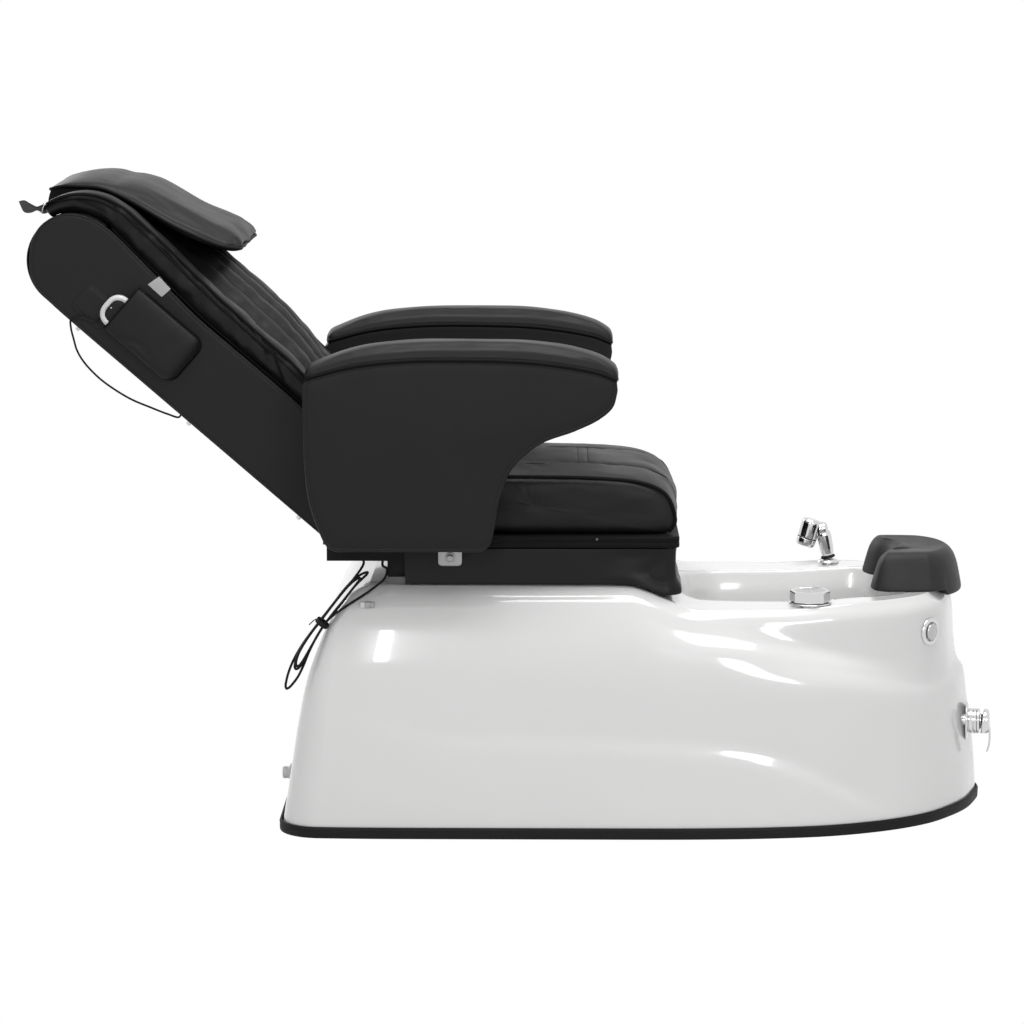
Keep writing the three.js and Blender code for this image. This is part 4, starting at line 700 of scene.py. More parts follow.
harness_route = [(-468, -221, 473.7), (-468, -221, 465.7)]
harness_route += [hank_point(0.42 + 5.08 * i / 61) for i in range(62)]
harness_route += [(-447, -269, 432), (-429, -258, 447), (-425, -244, 460), (-434, -225, 464.7), (-434, -225, 473.7)]
harness_line = catmull(harness_route, 620)
harness = tube("seat_harness", harness_line, 2.25, CORD, "base", 10, replaces="cable_harness")

at, way, across = on_spine(0.46)
middle = at + [0, -HANK_PITCH * 5.92 / 4, 0]
turn = np.linspace(0, 2 * math.pi, 40, endpoint=False)


def tie_ring(push, a, b):
    return [middle + way * push + across * a * math.cos(q) + np.array([0, b * math.sin(q), 0]) for q in turn]


tie_section = [(-4, 11.2, 15.6), (-4.4, 11.9, 16.3), (-3, 12.6, 17), (3, 12.6, 17), (4.4, 11.9, 16.3),
    (4, 11.2, 15.6), (0, 11.0, 15.4)]
tie_rings = [tie_ring(*s) for s in tie_section]
tie = skin("cable_tie", tie_rings + tie_rings[:1], RUBBER, "base", caps=0)
tail = [middle + across * out + way * up + [0, y, 0] for out, up, y in ((12.4, 0, -3), (15, 4, -7), (17, 15, -9))]
tail_line = even(tail, 12)
tie_tail = tube("cable_tie_tail", tail_line, 1.6, RUBBER, "base", 8, flat=0.4)

round(length_of(lead_line) * MM, 3)
round(length_of(harness_line) * MM, 3)
print("lead", round(length_of(lead_line)), "mm; harness", round(length_of(harness_line)), "mm")

# %% [markdown]
# ## Base moulding
# The CAD outline and profiles, read smoothly, with the sculpted wave low on each flank.

# %% Base skin
REAR, FRONT, HALF, CORNER, BOW_START = -616, 650, 353, 76, 20
DECK_Z, RIM_Z, BOW_Z = 432, 391, 401
PROFILES = [
    (-616, [(0, 0), (16, 0.231), (32, 0.463), (47, 0.625), (64, 0.741), (90, 0.875), (118, 0.961), (158, 1)]),
    (-506, [(0, 0), (5, 0.23), (12, 0.46), (22, 0.648), (34, 0.775), (56, 0.898), (80, 0.968), (108, 1)]),
    (-20, [(0, 0), (5, 0.23), (12, 0.46), (20, 0.66), (32, 0.79), (54, 0.9), (78, 0.97), (106, 1)]),
    (134, [(0, 0), (5, 0.256), (12, 0.51), (20, 0.69), (32, 0.824), (60, 0.91), (76, 0.967), (92, 1)]),
    (336, [(0, 0), (5, 0.23), (12, 0.457), (20, 0.665), (40, 0.761), (60, 0.838), (65, 0.944), (80, 1)]),
    (480, [(0, 0), (6, 0.225), (14, 0.45), (22, 0.595), (36, 0.675), (44, 0.75), (47, 0.925), (64, 1)]),
    (582, [(0, 0), (7, 0.225), (16, 0.424), (24, 0.561), (32, 0.623), (35, 0.723), (38, 0.928), (56, 1)]),
    (650, [(0, 0), (6, 0.225), (20, 0.474), (27, 0.6), (40, 0.655), (46, 0.75), (52, 0.935), (70, 1)]),
]
STATIONS = [p[0] for p in PROFILES]
BOW = [(0, 1), (0.17, 0.994), (0.333, 0.975), (0.5, 0.93), (0.616, 0.864), (0.733, 0.759), (0.825, 0.632),
    (0.892, 0.482), (0.944, 0.329), (0.978, 0.17), (1, 0)]


def top_z(x):
    """Height of the deck and the rim along the base."""
    x = np.asarray(x, float)
    return np.where(x < 134, ease(x, -12, 134, DECK_Z, RIM_Z), ease(x, 274, FRONT - 170, RIM_Z, BOW_Z))


def level_values(k, column):
    """Inset (0) or height share (1) at profile level k, which may lie between two levels."""
    return [float(pchip(range(8), [p[column] for p in profile], k)) for _, profile in PROFILES]


def outline(inset_at):
    """The half outline with y above 0, from the rear to the bow, at the inset given for each x."""
    rear, hip = float(inset_at(REAR)), float(inset_at(REAR + 110))
    r = max(CORNER - min(rear, hip), 24)
    corner_y = HALF - 4 - hip - r
    points = [(REAR + rear, corner_y * s) for s in np.linspace(0, 1, 9)[:-1]]
    points += list(arc(REAR + rear + r, corner_y, r, 180, 90, 12)[:-1])
    x0 = REAR + rear + r
    for x in np.linspace(x0, BOW_START, 34)[:-1]:
        pulled = 4 * max(0.0, (-400 - x) / (-400 - x0)) ** 2 if x0 < -400 else 4 * (1 - float(ease(x, x0, x0 + 100, 0,
            1)))
        points.append((x, HALF - float(inset_at(x)) - pulled))
    length = FRONT - BOW_START
    mirror = [(-0.17, 1)] + BOW + [(0.978, -0.17)]
    bow = catmull([(BOW_START + l * length, w * HALF) for l, w in mirror], 25 * 12 + 1)[25:-25:5]
    way = np.gradient(bow, axis=0)
    way /= np.linalg.norm(way, axis=1)[:, None]
    for p, t in zip(bow, way):
        inset = float(inset_at(p[0]))
        points.append((p[0] + t[1] * inset, p[1] - t[0] * inset))
    points = np.array(points)
    points[0, 1] = points[-1, 1] = 0
    return points


def whole(half):
    """The closed outline from its half."""
    return np.vstack([half, (half * [1, -1])[-2:0:-1]])


floor_line = whole(outline(lambda x: 0.0))
WAVE = ([-560, -488, -305, -75, 154, 237, 301, 366, 440, 520], [235, 215, 170, 164, 151, 136, 113, 80, 40, 20])


def wave(points):
    """How far the flank is pressed in just above the wave's crest."""
    x, z = points[:, 0], points[:, 2]
    crest = pchip(*WAVE, x)
    deep = pchip([-560, -300, 50, 250, 380, 480], [0, 3, 6, 9, 8, 0], x)
    above = z - crest
    return deep * ease(above, -9, 16, 0, 1) * np.exp(-np.maximum(above, 0) / 75) * ease(z, top_z(x) * 0.55,
        top_z(x) * 0.85, 1, 0)


def base_levels():
    """Rings of the flank from the floor to the edge of the deck."""
    rings = []
    for k in np.concatenate([np.linspace(0, 4, 33), np.linspace(4, 7, 31)[1:]]):
        inset, share = level_values(k, 0), level_values(k, 1)
        flat = whole(outline(lambda x: 3.5 + float(pchip(STATIONS, inset, x))))
        z = np.array([max(2.0, float(pchip(STATIONS, share, x) * top_z(x))) for x in floor_line[:, 0]])
        ring = np.column_stack([flat, z])
        ring[:, :2] += inward_of(flat) * wave(ring)[:, None]
        rings.append(ring)
    return rings


BASIN_X, BASIN_LONG, BASIN_HALF, BASIN_FLOOR = 305, 210, 160, 130
LAND = np.array([BASIN_X + 12, BASIN_LONG + 28, BASIN_HALF + 40])
RIM = np.array([BASIN_LONG + 9, BASIN_LONG + 6, BASIN_HALF + 8.5])


def basin_ring(angles, rear, front, half, share):
    """A squarish ring round the basin, share of the way down to its floor."""
    c, s = np.cos(angles), np.sin(angles)
    a = np.where(c < 0, rear, front)
    r = (np.abs(c / a) ** 4 + np.abs(s / half) ** 4) ** -0.25
    x = BASIN_X + r * c
    z = top_z(x) + share * (BASIN_FLOOR - top_z(x))
    return np.column_stack([x, r * s, z])


levels = base_levels()
edge = levels[-1]
angles = np.arctan2(edge[:, 1], edge[:, 0] - BASIN_X)
land = basin_ring(angles, *LAND, 0)
for s in np.linspace(0, 1, 9)[1:]:
    ring = edge * (1 - s) + land * s
    ring[:, 2] = top_z(ring[:, 0])
    levels.append(ring)
levels += [basin_ring(angles, *(LAND * (1 - s) + RIM * s), 0) for s in np.linspace(0, 1, 7)[1:]]
base_skin = skin("base_skin", levels, GEL, "base", "base_shell", 0, wall=4)

lip = [(8, 6, 8.5, 0), (6, 4, 6, 0.002), (2.5, 1.5, 3, 0.008), (0, -0.5, 0.5, 0.022), (-2, -2, -2, 0.05),
    (-9, -9, -9, 0.12)]
down = [(-12, -11, -11, 0.2), (-18, -15, -15, 0.34), (-24, -19, -19, 0.45), (-30, -24, -24, 0.56),
    (-36, -28, -28, 0.68), (-42, -32, -32, 0.8), (-47, -38, -38, 0.9), (-55, -46, -46, 0.965), (-72, -62, -62, 0.995),
    (-95, -80, -80, 1), (-140, -140, -110, 1)]
bowl_rings = [basin_ring(angles, BASIN_LONG + a, BASIN_LONG + b, BASIN_HALF + c, s) for a, b, c, s in lip + down]
verts, faces = loft(bowl_rings, 0)
verts.append(np.array([BASIN_X, 0, BASIN_FLOOR]))
last = (len(bowl_rings) - 1) * len(angles)
faces += [(last + j, last + (j + 1) % len(angles), len(verts) - 1) for j in range(len(angles))]
bowl = piece("bowl_skin", verts, faces, GEL, "base", "basin_bowl", fine=True, wall=4)
print("base skin", len(base_skin.data.vertices), "points; bowl", len(bowl.data.vertices))

# %% [markdown]
# The black band follows the floor outline and has a bead near its top.

# %% Kick band
floor_inward = inward_of(floor_line)


def band_ring(inset, z):
    return np.column_stack([floor_line + floor_inward * inset, np.full(len(floor_line), float(z))])


band_section = [(3.2, 0), (0.6, 0), (0, 1), (-0.4, 4), (-0.6, 10), (-0.2, 16), (0.4, 18.6), (1.4, 19.8), (2.6, 20),
    (3.2, 19.6)]
band = skin("foot_band", [band_ring(*s) for s in band_section + band_section[:1]], RUBBER, "base", "kick_band", 0)
tube("foot_band_bead", even(band_ring(-0.1, 15.4), 500, True), 0.9, RUBBER, "base", 6, closed=True)
print("band", len(band.data.vertices), "points")

# %% [markdown]
# ## Seat
# A boxed cushion with welted sides, sewn channels and a rolled front, on its wrapped board.

# %% Seat cushion
BOTTOM = 520.5
SEAT_REAR, SEAT_FRONT, SEAT_HALF, SEAT_CROWN = -415, 85, 226, 13
SEAT_CHANNEL = 100
SEAT_SIDE = [
    (14, 0, 0), (4, 10, 0), (0, 30, 0), (0, 58, 0), (6, 84, 0.2), (30, 98, 0.7), (140, 99.5, 1), (260, 99, 1),
        (330, 98, 1), (390, 95, 1),
    (430, 90.5, 1.15), (458, 82, 1.3), (478, 70, 1.3), (490, 53, 0.9), (496, 34, 0.45), (497, 17, 0.2), (490, 6, 0),
        (480, 0, 0),
]


def seat_profile():
    """The side outline: x, height, and how much of the crown the top takes there."""
    line = even(catmull([(SEAT_REAR + x, h, w) for x, h, w in SEAT_SIDE], 400), 82)
    return np.vstack([line, np.linspace(line[-1], line[0], 16)[1:-1]])


def seat_top(y):
    """How far the seat's top rises above its welted edge at that y."""
    return SEAT_CROWN * max(0.0, 1 - (y / SEAT_HALF) ** 2) ** 0.7


def seat_cushion():
    """Boxed cushion: a top panel between two welts, and side panels that bulge below them."""
    profile = seat_profile()
    x, h, w = profile.T
    ys = np.unique(np.round(np.concatenate([np.linspace(-204, 204, 51), [-SEAT_CHANNEL, SEAT_CHANNEL],
        [-209, 209, -212, 212]]), 1))
    rings, pins = [], []
    centre = np.array([-165.0, BOTTOM + 48])

    def ring(y, inset, rise):
        way = np.stack([np.clip((x - (SEAT_REAR + SEAT_FRONT) / 2) / 200, -1, 1),
            np.where(h > 45, 1.0, np.where(h < 2, 0, h / 45))], 1)
        belly = 9 * np.clip((x - 10) / 60, 0, 1) * np.clip(h / 20, 0, 1) * rise / SEAT_CROWN
        pulled = np.column_stack([x - way[:, 0] * inset + belly, h - way[:, 1] * inset + w * rise])
        return upright(pulled + [0, BOTTOM], y)

    def bulge(y, share):
        """A side panel's ring: the outline shrunk to its middle, standing out in y."""
        flat = np.column_stack([x, BOTTOM + h])
        flat = flat * (1 - share) + centre * share
        return upright(flat, y)

    side = [(213.5, 0.012), (217.5, 0.05), (221, 0.11), (223.5, 0.2), (225, 0.33), (225.6, 0.5), (226, 0.7),
        (226, 0.88)]
    for y, share in side[::-1]:
        rings.append(bulge(-y, share))
        pins.append(np.where(h < 4, 0.9, 0.5))
    for y in ys:
        inset = float(np.interp(212 - abs(y), [0, 3, 9], [1.6, 0.6, 0]))
        rings.append(ring(y, inset, seat_top(y)))
        hold = np.where(h < 6, 1.0, 0.0)
        if abs(abs(y) - SEAT_CHANNEL) < 1:
            hold = np.maximum(hold, np.where(w > 0.25, 0.92, 0))
        if abs(y) > 211:
            hold = np.ones(len(h))
        pins.append(hold)
    for y, share in side:
        rings.append(bulge(y, share))
        pins.append(np.where(h < 4, 0.9, 0.5))
    obj = skin("seat_pad", rings, VINYL, "seat", "seat_cushion")
    stuff(obj, pins, 0.5, 2.2, 2.4, 1.2)
    return obj, rings[len(side)], rings[-1 - len(side)], profile


seat_pad, seat_near_edge, seat_far_edge, seat_line = seat_cushion()
print("seat cushion", len(seat_pad.data.vertices), "points")

# %% [markdown]
# The board's wrapped edge, and the cover that hangs from it with soft folds at the front.

# %% Board and skirt
board_section = [(0, 0), (-3, 0.6), (-4, 4), (-3.6, 8), (-1.8, 9.4), (-1.8, 10.4), (-3.4, 11.8), (-3.8, 16),
    (-2.6, 19.2), (0, 20)]


def board_ring(out, z):
    loop = box_loop(-420 - out, 90 + out, -250 - out, 250 + out, 14 + out, 260)
    return np.column_stack([loop, np.full(len(loop), z)])


board_rings = [board_ring(-x * 0.5 - 2.2, 500 + z) for x, z in board_section]
skin("seat_board_wrap", board_rings, PIPING_SEAM_SHADE, "seat", "seat_board", 3)


def skirt_line(inset):
    """The skirt's plan, open at the rear."""
    rear, front, half, r = -393, 92, 250, 30
    side = [(x, inset - half) for x in np.linspace(rear, front - r, 60)[:-1]]
    corner = arc(front - r, r - half, r - inset, -90, 0, 10)
    straight = [(front - inset, y) for y in np.linspace(r - half, 0, 14)[1:]]
    near = np.array(side + list(corner) + straight)
    return np.vstack([near, (near * [1, -1])[-2::-1]])


def skirt_piece():
    base_line = skirt_line(0)
    foot = np.array([max(float(top_z(x)) + 3, 415) for x, _ in base_line])
    rings = []
    for s in np.linspace(0, 1, 15):
        front = ease(base_line[:, 0], -60, 70, 0, 1)
        waist = 4 * (1 - s) + 5.5 * np.sin(math.pi * min(1, s * 1.25)) * front - 3.0 * front * ease(s, 0.6, 1, 0, 1)
        plan = np.array([skirt_line(float(w))[i] for i, w in enumerate(waist)])
        z = 499.6 * (1 - s) + foot * s
        rings.append(np.column_stack([plan[:, 0] - 2 * (1 - s), plan[:, 1], z]))
    for s in (0.995, 0.9, 0.5, 0.02):
        plan = skirt_line(4 + 4 * (1 - s))
        rings.append(np.column_stack([plan[:, 0] - 2 * (1 - s), plan[:, 1], 499.6 * (1 - s) + foot * s]))
    rings.append(rings[0])
    return skin("seat_skirt_cover", rings, SKIRT_VINYL, "seat", "seat_skirt", 0, wrap=False, fine=True)


skirt = skirt_piece()


def skirt_folds(co, no):
    return ease(co[:, 0], -90, 40, 0, 1) * ease(co[:, 2], 496, 470, 0, 1) * ease(co[:, 2], 412, 436, 0.2, 1)


ruffle(skirt, 5.5, 44, skirt_folds, 3.7, (0.7, 0.7, 1.1))
print("skirt", len(skirt.data.vertices), "points")

# %% [markdown]
# Bracket plates, bolts and small screws on the seat's sides.

# %% Arm brackets and small fixings
bolt = [(0, -1), (9.6, -1), (9.6, 1.2), (9, 1.8), (6.6, 1.8), (6.4, 4.4), (5.4, 5.8), (0, 6.6)]
screw = [(0, -1), (2.6, -1), (2.5, 1.0), (0, 1.8)]
for side, s in SIDES:
    faces_y = (s * 250.7, s * 254.7)
    plate(f"arm_plate_{side}", (-335, -293), faces_y, (468, 600), 6, ZINC, "seat", f"arm_bracket_{side}")
    turned(f"arm_bolt_{side}", bolt, (-314, s * 254.7, 483), (0, s, 0), ZINC, "seat", r=0.5, sides=40)
    turned(f"board_screw_{side}", screw, (-56, s * 251.6, 516), (0, s, 0), STEEL, "seat", r=0.5, sides=20)
plate("rear_tab", (-540, -534), (-212, -206), (499, 519), 1.2, BLACK_PLASTIC, "seat")
print("arm brackets at", faces_y, "mm")

# %% [markdown]
# ## Arms
# Upholstered side panels under padded tops, with a thick welt where they meet.

# %% Arm panels
ARM_SEAM = [(-552, 812), (-482, 830), (-396, 840), (-279, 842), (-156, 837), (-53, 820), (-24, 808)]
ARM_FRONT = [(-22, 789), (-30, 761), (-53, 740), (-96, 719), (-156, 696), (-204, 653), (-225, 600), (-237, 536),
    (-244, 518), (-259, 508)]
ARM_REAR = [(-508, 508), (-524, 516), (-543, 556), (-556, 600), (-562, 652), (-565, 739), (-565, 800)]
ARM_Y = (255, 350)


def arm_outline():
    run = [catmull(ARM_SEAM, 90), catmull(ARM_FRONT, 90), np.linspace(ARM_FRONT[-1], ARM_REAR[0], 40)[1:-1],
        catmull(ARM_REAR, 70)]
    return even(np.vstack(run), 260, True)


def arm_panel():
    loop = arm_outline()
    inward = inward_of(loop, 2)
    y_in, y_out = ARM_Y
    rolled = [(4.2, 0.2), (2.6, 0.7), (1.2, 1.8), (0.3, 3.4), (0, 5.5)]
    seam = [(5.2, 0), (6.0, 0.5), (6.6, 0.8), (7.2, 0.5), (8.2, 0), (11, -0.5)]
    centre = np.array([-352.0, 690.0])
    rings = []

    def ring(flat, y):
        rings.append(upright(flat, y))

    inner = loop + inward * 11
    for s in (0.95, 0.88, 0.78, 0.66, 0.52, 0.36, 0.2, 0.08, 0):
        ring(inner * (1 - s) + centre * s, -(y_out + 0.5 + 2.4 * (1 - (1 - s) ** 2)))
    for inset, depth in seam[::-1] + rolled:
        ring(loop + inward * inset, depth - y_out)
    for inset, depth in rolled[::-1] + seam[:1]:
        ring(loop + inward * inset, -(y_in + depth))
    ring(inner, -y_in)
    return skin("arm_side_near", rings, VINYL, "seat", "arm_panel_near")


arm_near = arm_panel()
mirrored(arm_near, "arm_side_far", "seat", "arm_panel_far")
print("arm panel", len(arm_near.data.vertices), "points")

# %% [markdown]
# The tops of the arms, thickest behind the front end, with rolled ends.

# %% Arm pads
PAD_THICK = [19, 25, 27, 28, 29, 27, 23]


def arm_pad():
    """The near pad, and the line round its lower edge."""
    seam = catmull([(x - 1, z + 0.6) for x, z in ARM_SEAM], 400)
    thick = catmull([(x, t) for (x, _), t in zip(ARM_SEAM, PAD_THICK)], 400)[:, 1]
    start, end = seam[0] + [-9, -3], seam[-1] + [5, -3]
    line = np.vstack([np.linspace(start, seam[0], 12)[:-1], seam, np.linspace(seam[-1], end, 8)[1:]])
    depth = np.concatenate([np.linspace(0.9, 1, 12)[:-1] * thick[0], thick, np.linspace(1, 0.92, 8)[1:] * thick[-1]])
    run = run_of(line)
    total = run[-1]
    ends = np.array([0, 1.2, 3.2, 6.4, 11, 17, 24])
    stations = np.concatenate([ends, np.linspace(32, total - 32, 50), total - ends[::-1]])
    y0, y1 = 253.5, 351.5
    mid, half = (y0 + y1) / 2, (y1 - y0) / 2
    angle = np.linspace(0, math.pi, 27)
    rings, pins = [], []
    for s in stations:
        x, z, t = (np.interp(s, run, values) for values in (line[:, 0], line[:, 1], depth))
        edge = min(s, total - s)
        c, q = np.cos(angle), np.sin(angle)
        y = mid + (half - 13 * (1 - nose(edge, 13))) * squarish(c, 0.62)
        up = t * (0.5 + 0.5 * nose(edge, 10)) * squarish(q, 0.55)
        under = np.linspace(y[-1], y[0], 9)[1:-1]
        rings.append(np.column_stack([np.full(len(y) + 7, x), -np.concatenate([y, under]),
            z + np.concatenate([up, np.zeros(7)])]))
        pins.append(np.concatenate([np.where(q < 0.12, 1.0, 0.0), np.ones(7)]))
    obj = skin("arm_cushion_near", rings, VINYL, "seat", "arm_pad_near")
    stuff(obj, pins, 0, 2.5, 3, 1.5)
    edge_line = np.array([ring[0] for ring in rings] + [ring[26] for ring in rings[::-1]])
    edge_line[:, 0] = np.clip(edge_line[:, 0], rings[0][0][0] + 5, rings[-1][0][0] - 6)
    return obj, edge_line


arm_cushion, arm_welt_line = arm_pad()
print("arm pad", len(arm_cushion.data.vertices))

# %% [markdown]
# ## Backrest
# A closed shell of two side panels and a wrapped rear, with a boxed pad that has bolsters and a
# fluted middle, and a flap pillow over its head end.

# %% Shell of the backrest
SIDE_OUTLINE = [
    (16, 0), (60, 0), (190, 0), (320, 0), (450, 0), (565, 0), (630, 1), (667.5, 4), (690, 14), (706, 29), (725.5, 57),
        (734, 87), (729, 115),
    (715.5, 138), (694.5, 154), (668, 164), (638, 167), (585, 164), (528, 159), (470, 154), (418, 150.5),
        (360, 150.5), (305, 151),
    (190, 151), (90, 151), (34, 151), (14, 145), (4, 128), (1, 90), (0, 45), (0, 18), (4.5, 4.5),
]


def back_loop(points, count):
    """A closed smooth outline of u and v, as x and z."""
    dense = even(catmull(points + points[:1], 900), count, True)
    return np.array([back(u, 0, v)[[0, 2]] for u, v in dense])


def shell_side():
    loop = back_loop(SIDE_OUTLINE, 300)
    inward = inward_of(loop, 2)
    face = [(9, 0), (6.6, 0), (5.4, 0.5), (4.8, 0.8), (4.2, 0.5), (3.2, 0), (1.6, 0.5), (0.4, 1.6), (0, 3.4),
        (0, 8.7), (0.6, 9), (8, 9)]
    rings = [upright(loop + inward * inset, depth - 245) for inset, depth in face]
    return skin("shell_side_near", rings, VINYL, "backrest", "back_side_near", 6)


side_near = shell_side()
mirrored(side_near, "shell_side_far", "backrest", "back_side_far")

HEAD_U, HEAD_V, HEAD_R = 650.0, 84.0, 84.0
rear_path = np.vstack([[(30, 0)], np.column_stack([np.linspace(60, 620, 60), np.zeros(60)]),
    arc(HEAD_U, HEAD_V, HEAD_R, -90, 92, 40)])


def rear_shell():
    rings = []
    way = np.gradient(rear_path, axis=0)
    way /= np.linalg.norm(way, axis=1)[:, None]
    normal = np.stack([way[:, 1], -way[:, 0]], 1)
    ys = np.concatenate([[-235.7, -234.5, -231], np.linspace(-226, 226, 45), [231, 234.5, 235.7]])
    for y in ys:
        seam = 1.2 * math.exp(-(((abs(y) - 150) / 2.2) ** 2))
        flat = rear_path - normal * (1.1 * (abs(y) > 235) + seam + 0.2)
        rings.append(np.array([back(u, y, v) for u, v in flat]))
    obj = skin("shell_rear", rings, VINYL, "backrest", "back_rear_cover", 0, wrap=False)
    to_sitter = np.array([math.sin(TILT), 0, math.cos(TILT)])
    thicken(obj, 3.6, -1 if normals(obj)[len(rear_path) * 20] @ to_sitter < 0 else 1)


rear_shell()
screw_head = [(0, -0.5), (6.6, -0.5), (6.6, 1.4), (4.4, 2.2), (4.2, 6.4), (3.2, 7.8), (0, 8)]
rearward = back(0, 0, 0) - back(0, 0, 1)
for side, s in SIDES:
    for k, u in enumerate((62, 316, 570)):
        at = back(u, s * 226, 0)
        turned(f"rear_screw_{side}_{k}", screw_head, at, rearward, CHROME, "backrest", r=0.6, sides=24)
print("shell side", len(side_near.data.vertices), "points")

# %% [markdown]
# Two bolsters beside a fluted middle. Each station gives u, v, the way out of the back in degrees,
# the height of the edge and the height of the flutes over it.

# %% Back pad
STATIONS_PAD = [
    (64, 151, 90, 30, 8), (80, 151, 90, 46, 16), (140, 151, 90, 48, 24), (210, 151, 90, 46, 31),
        (270, 151, 90, 50, 40), (330, 151, 90, 50, 47),
    (400, 151, 91, 52, 47), (470, 154.6, 93, 52, 42), (530, 159, 94, 52, 28), (590, 163.4, 94, 50, 16),
        (630, 166.4, 93, 48, 8),
]
for i, a in enumerate((92, 80, 68, 56, 44, 32, 20)):
    STATIONS_PAD.append((HEAD_U + HEAD_R * math.cos(math.radians(a)), HEAD_V + HEAD_R * math.sin(math.radians(a)), a,
        45 - 3.4 * i, 3))
PAD_EDGE = [(228, 0, 0.5), (231, 0.07, 0), (237, 0.2, 0), (242, 0.4, 0), (242.4, 0.55, 0), (244.2, 0.7, 0),
    (243.6, 0.84, 0), (241.5, 0.95, 0), (235, 1.03, 0), (225, 1.08, 0), (212, 1.09, 0), (198, 1.05, 0),
    (184, 0.99, 0), (171, 0.93, 0), (160, 0.87, 0), (153, 0.82, 0)]


PAD_LIFT = 0.6


def pad_section(e, c):
    """(y, h) from the near lower edge over the top to the far lower edge, then back underneath."""
    side = [(y, s * e + k) for y, s, k in PAD_EDGE]
    mid = []
    for y in np.arange(-146.67, 147, 6.6667):
        flute = 7 * abs(math.cos(math.pi * y / 40)) ** 0.7 - 7
        mid.append((y, 0.9 * e + c * math.cos(math.pi * y / 330) + flute * min(1, c / 20)))
    under = [(y, 0.5) for y in np.linspace(215, -215, 12)]
    return [(-y, h) for y, h in side] + mid + side[::-1] + under


def pad_rows():
    """Distances up the pad, its stations read there, and its whole length."""
    st = np.array(STATIONS_PAD, float)
    run = run_of(st[:, :2])
    at = np.concatenate([[0, 4, 9, 15], np.linspace(23, run[-1] - 12, 78), [run[-1] - 6, run[-1]]])
    return at, np.stack([pchip(run, st[:, k], at) for k in range(5)], 1), run[-1]


def back_pad():
    at, rows, total = pad_rows()
    rings, pins = [], []
    for s, row in zip(at, rows):
        section = pad_section(*row[3:])
        rings.append(np.array([off_back(row, y, h + PAD_LIFT) for y, h in section]))
        hold = []
        for y, h in section:
            w = 1.0 if h < 1 else 0.0
            if abs(abs(y) - 241.5) < 0.2 or abs(abs(y) - 153) < 0.2:
                w = 1.0
            if abs(y) < 148 and abs(math.cos(math.pi * y / 40)) < 0.3:
                w = 0.85
            if s < 3 or s > total - 5:
                w = 1.0
            hold.append(max(w, float(ease(s, total - 170, total - 60, 0, 0.6))))
        pins.append(hold)
    obj = skin("back_cushion", rings, VINYL, "backrest", "back_pad", 3)
    stuff(obj, pins, 1, 4, 7, 3)
    return obj, np.array(rings)


back_cushion, pad_rings = back_pad()
PAD_COLUMNS = np.array([y for y, _ in pad_section(48, 24)][: 2 * len(PAD_EDGE) + 45])


def pad_column(y):
    """The pad's line at that y on its upper side."""
    return pad_rings[:, int(np.argmin(np.abs(PAD_COLUMNS - y)))]


print("back pad", len(back_cushion.data.vertices), "points")

# %% [markdown]
# The flap pillow. Its stations give u, v, degrees, crown, underside and share of the width.

# %% Pillow
STATIONS_PILLOW = [
    (764, 143, 20, 8, -6, 0.95), (755, 157, 32, 11, -6, 0.98), (731, 179, 48, 15, -3, 1), (691, 206.5, 64, 18, -3, 1),
        (640, 221, 76, 26, -4, 1),
    (575, 233, 78, 29, -5, 1), (512, 250, 76, 29, -7, 1), (470, 266, 74, 28, -9, 1), (446, 280, 72, 22, -8, 1),
]


def pillow():
    st = np.array(STATIONS_PILLOW, float)
    run = run_of(st[:, :2])
    at = np.concatenate([[0, 2.5, 7, 13], np.linspace(21, run[-1] - 30, 38),
        run[-1] - np.array([22, 15, 9.5, 5.5, 2.5, 0.8, 0])])
    rows = np.stack([pchip(run, st[:, k], at) for k in range(6)], 1)
    angle = np.linspace(0, math.pi, 39)
    rings, pins = [], []
    for s, row in zip(at, rows):
        crown, under, share = row[3:]
        end = min(s, run[-1] - s)
        full = nose(end, 16)
        corner = 10 if s < run[-1] / 2 else 38
        half = 190 * share - corner * (1 - nose(end, corner + 2))
        y = half * squarish(np.cos(angle), 0.6)
        top = 2 + crown * (0.45 + 0.55 * full) * squarish(np.sin(angle), 0.62)
        low = -1.4 + under * (0.3 + 0.7 * full) * squarish(np.sin(angle), 0.8)
        section = list(zip(-y, top)) + list(zip(-y[::-1][1:-1], low[::-1][1:-1]))
        rings.append(np.array([off_back(row, q, h) for q, h in section]))
        hold = np.concatenate([np.where(np.sin(angle) < 0.05, 1.0, 0.0), np.full(37, 0.75)])
        if end < 1:
            hold = np.maximum(hold, 0.9)
        pins.append(hold)
    obj = skin("head_cushion", rings, VINYL, "pillow", "head_pillow", 3)
    stuff(obj, pins, 0.6, 3, 5, 3)
    first, last = rings[0], rings[-1]
    near, far = [ring[0] for ring in rings], [ring[38] for ring in rings]
    head = [(first[k] + first[-k]) / 2 for k in range(38, 0, -1)]
    tip = [(last[k] + last[-k]) / 2 for k in range(1, 38)]
    return obj, np.array(near + tip + far[::-1] + head[:-1])


head_cushion, pillow_welt_line = pillow()
print("pillow", len(head_cushion.data.vertices), "points")

# %% [markdown]
# Sixteen frames of cloth, without gravity, then one subdivision.

# %% Fill the cushions
fill_all()
for obj, *_ in STUFFED:
    subdivide(obj)
print("stuffed pieces", [len(obj.data.vertices) for obj, *_ in STUFFED])

# %% [markdown]
# Sewn channels pull in, the leather gets soft dents and folds, and piping runs along the seams.

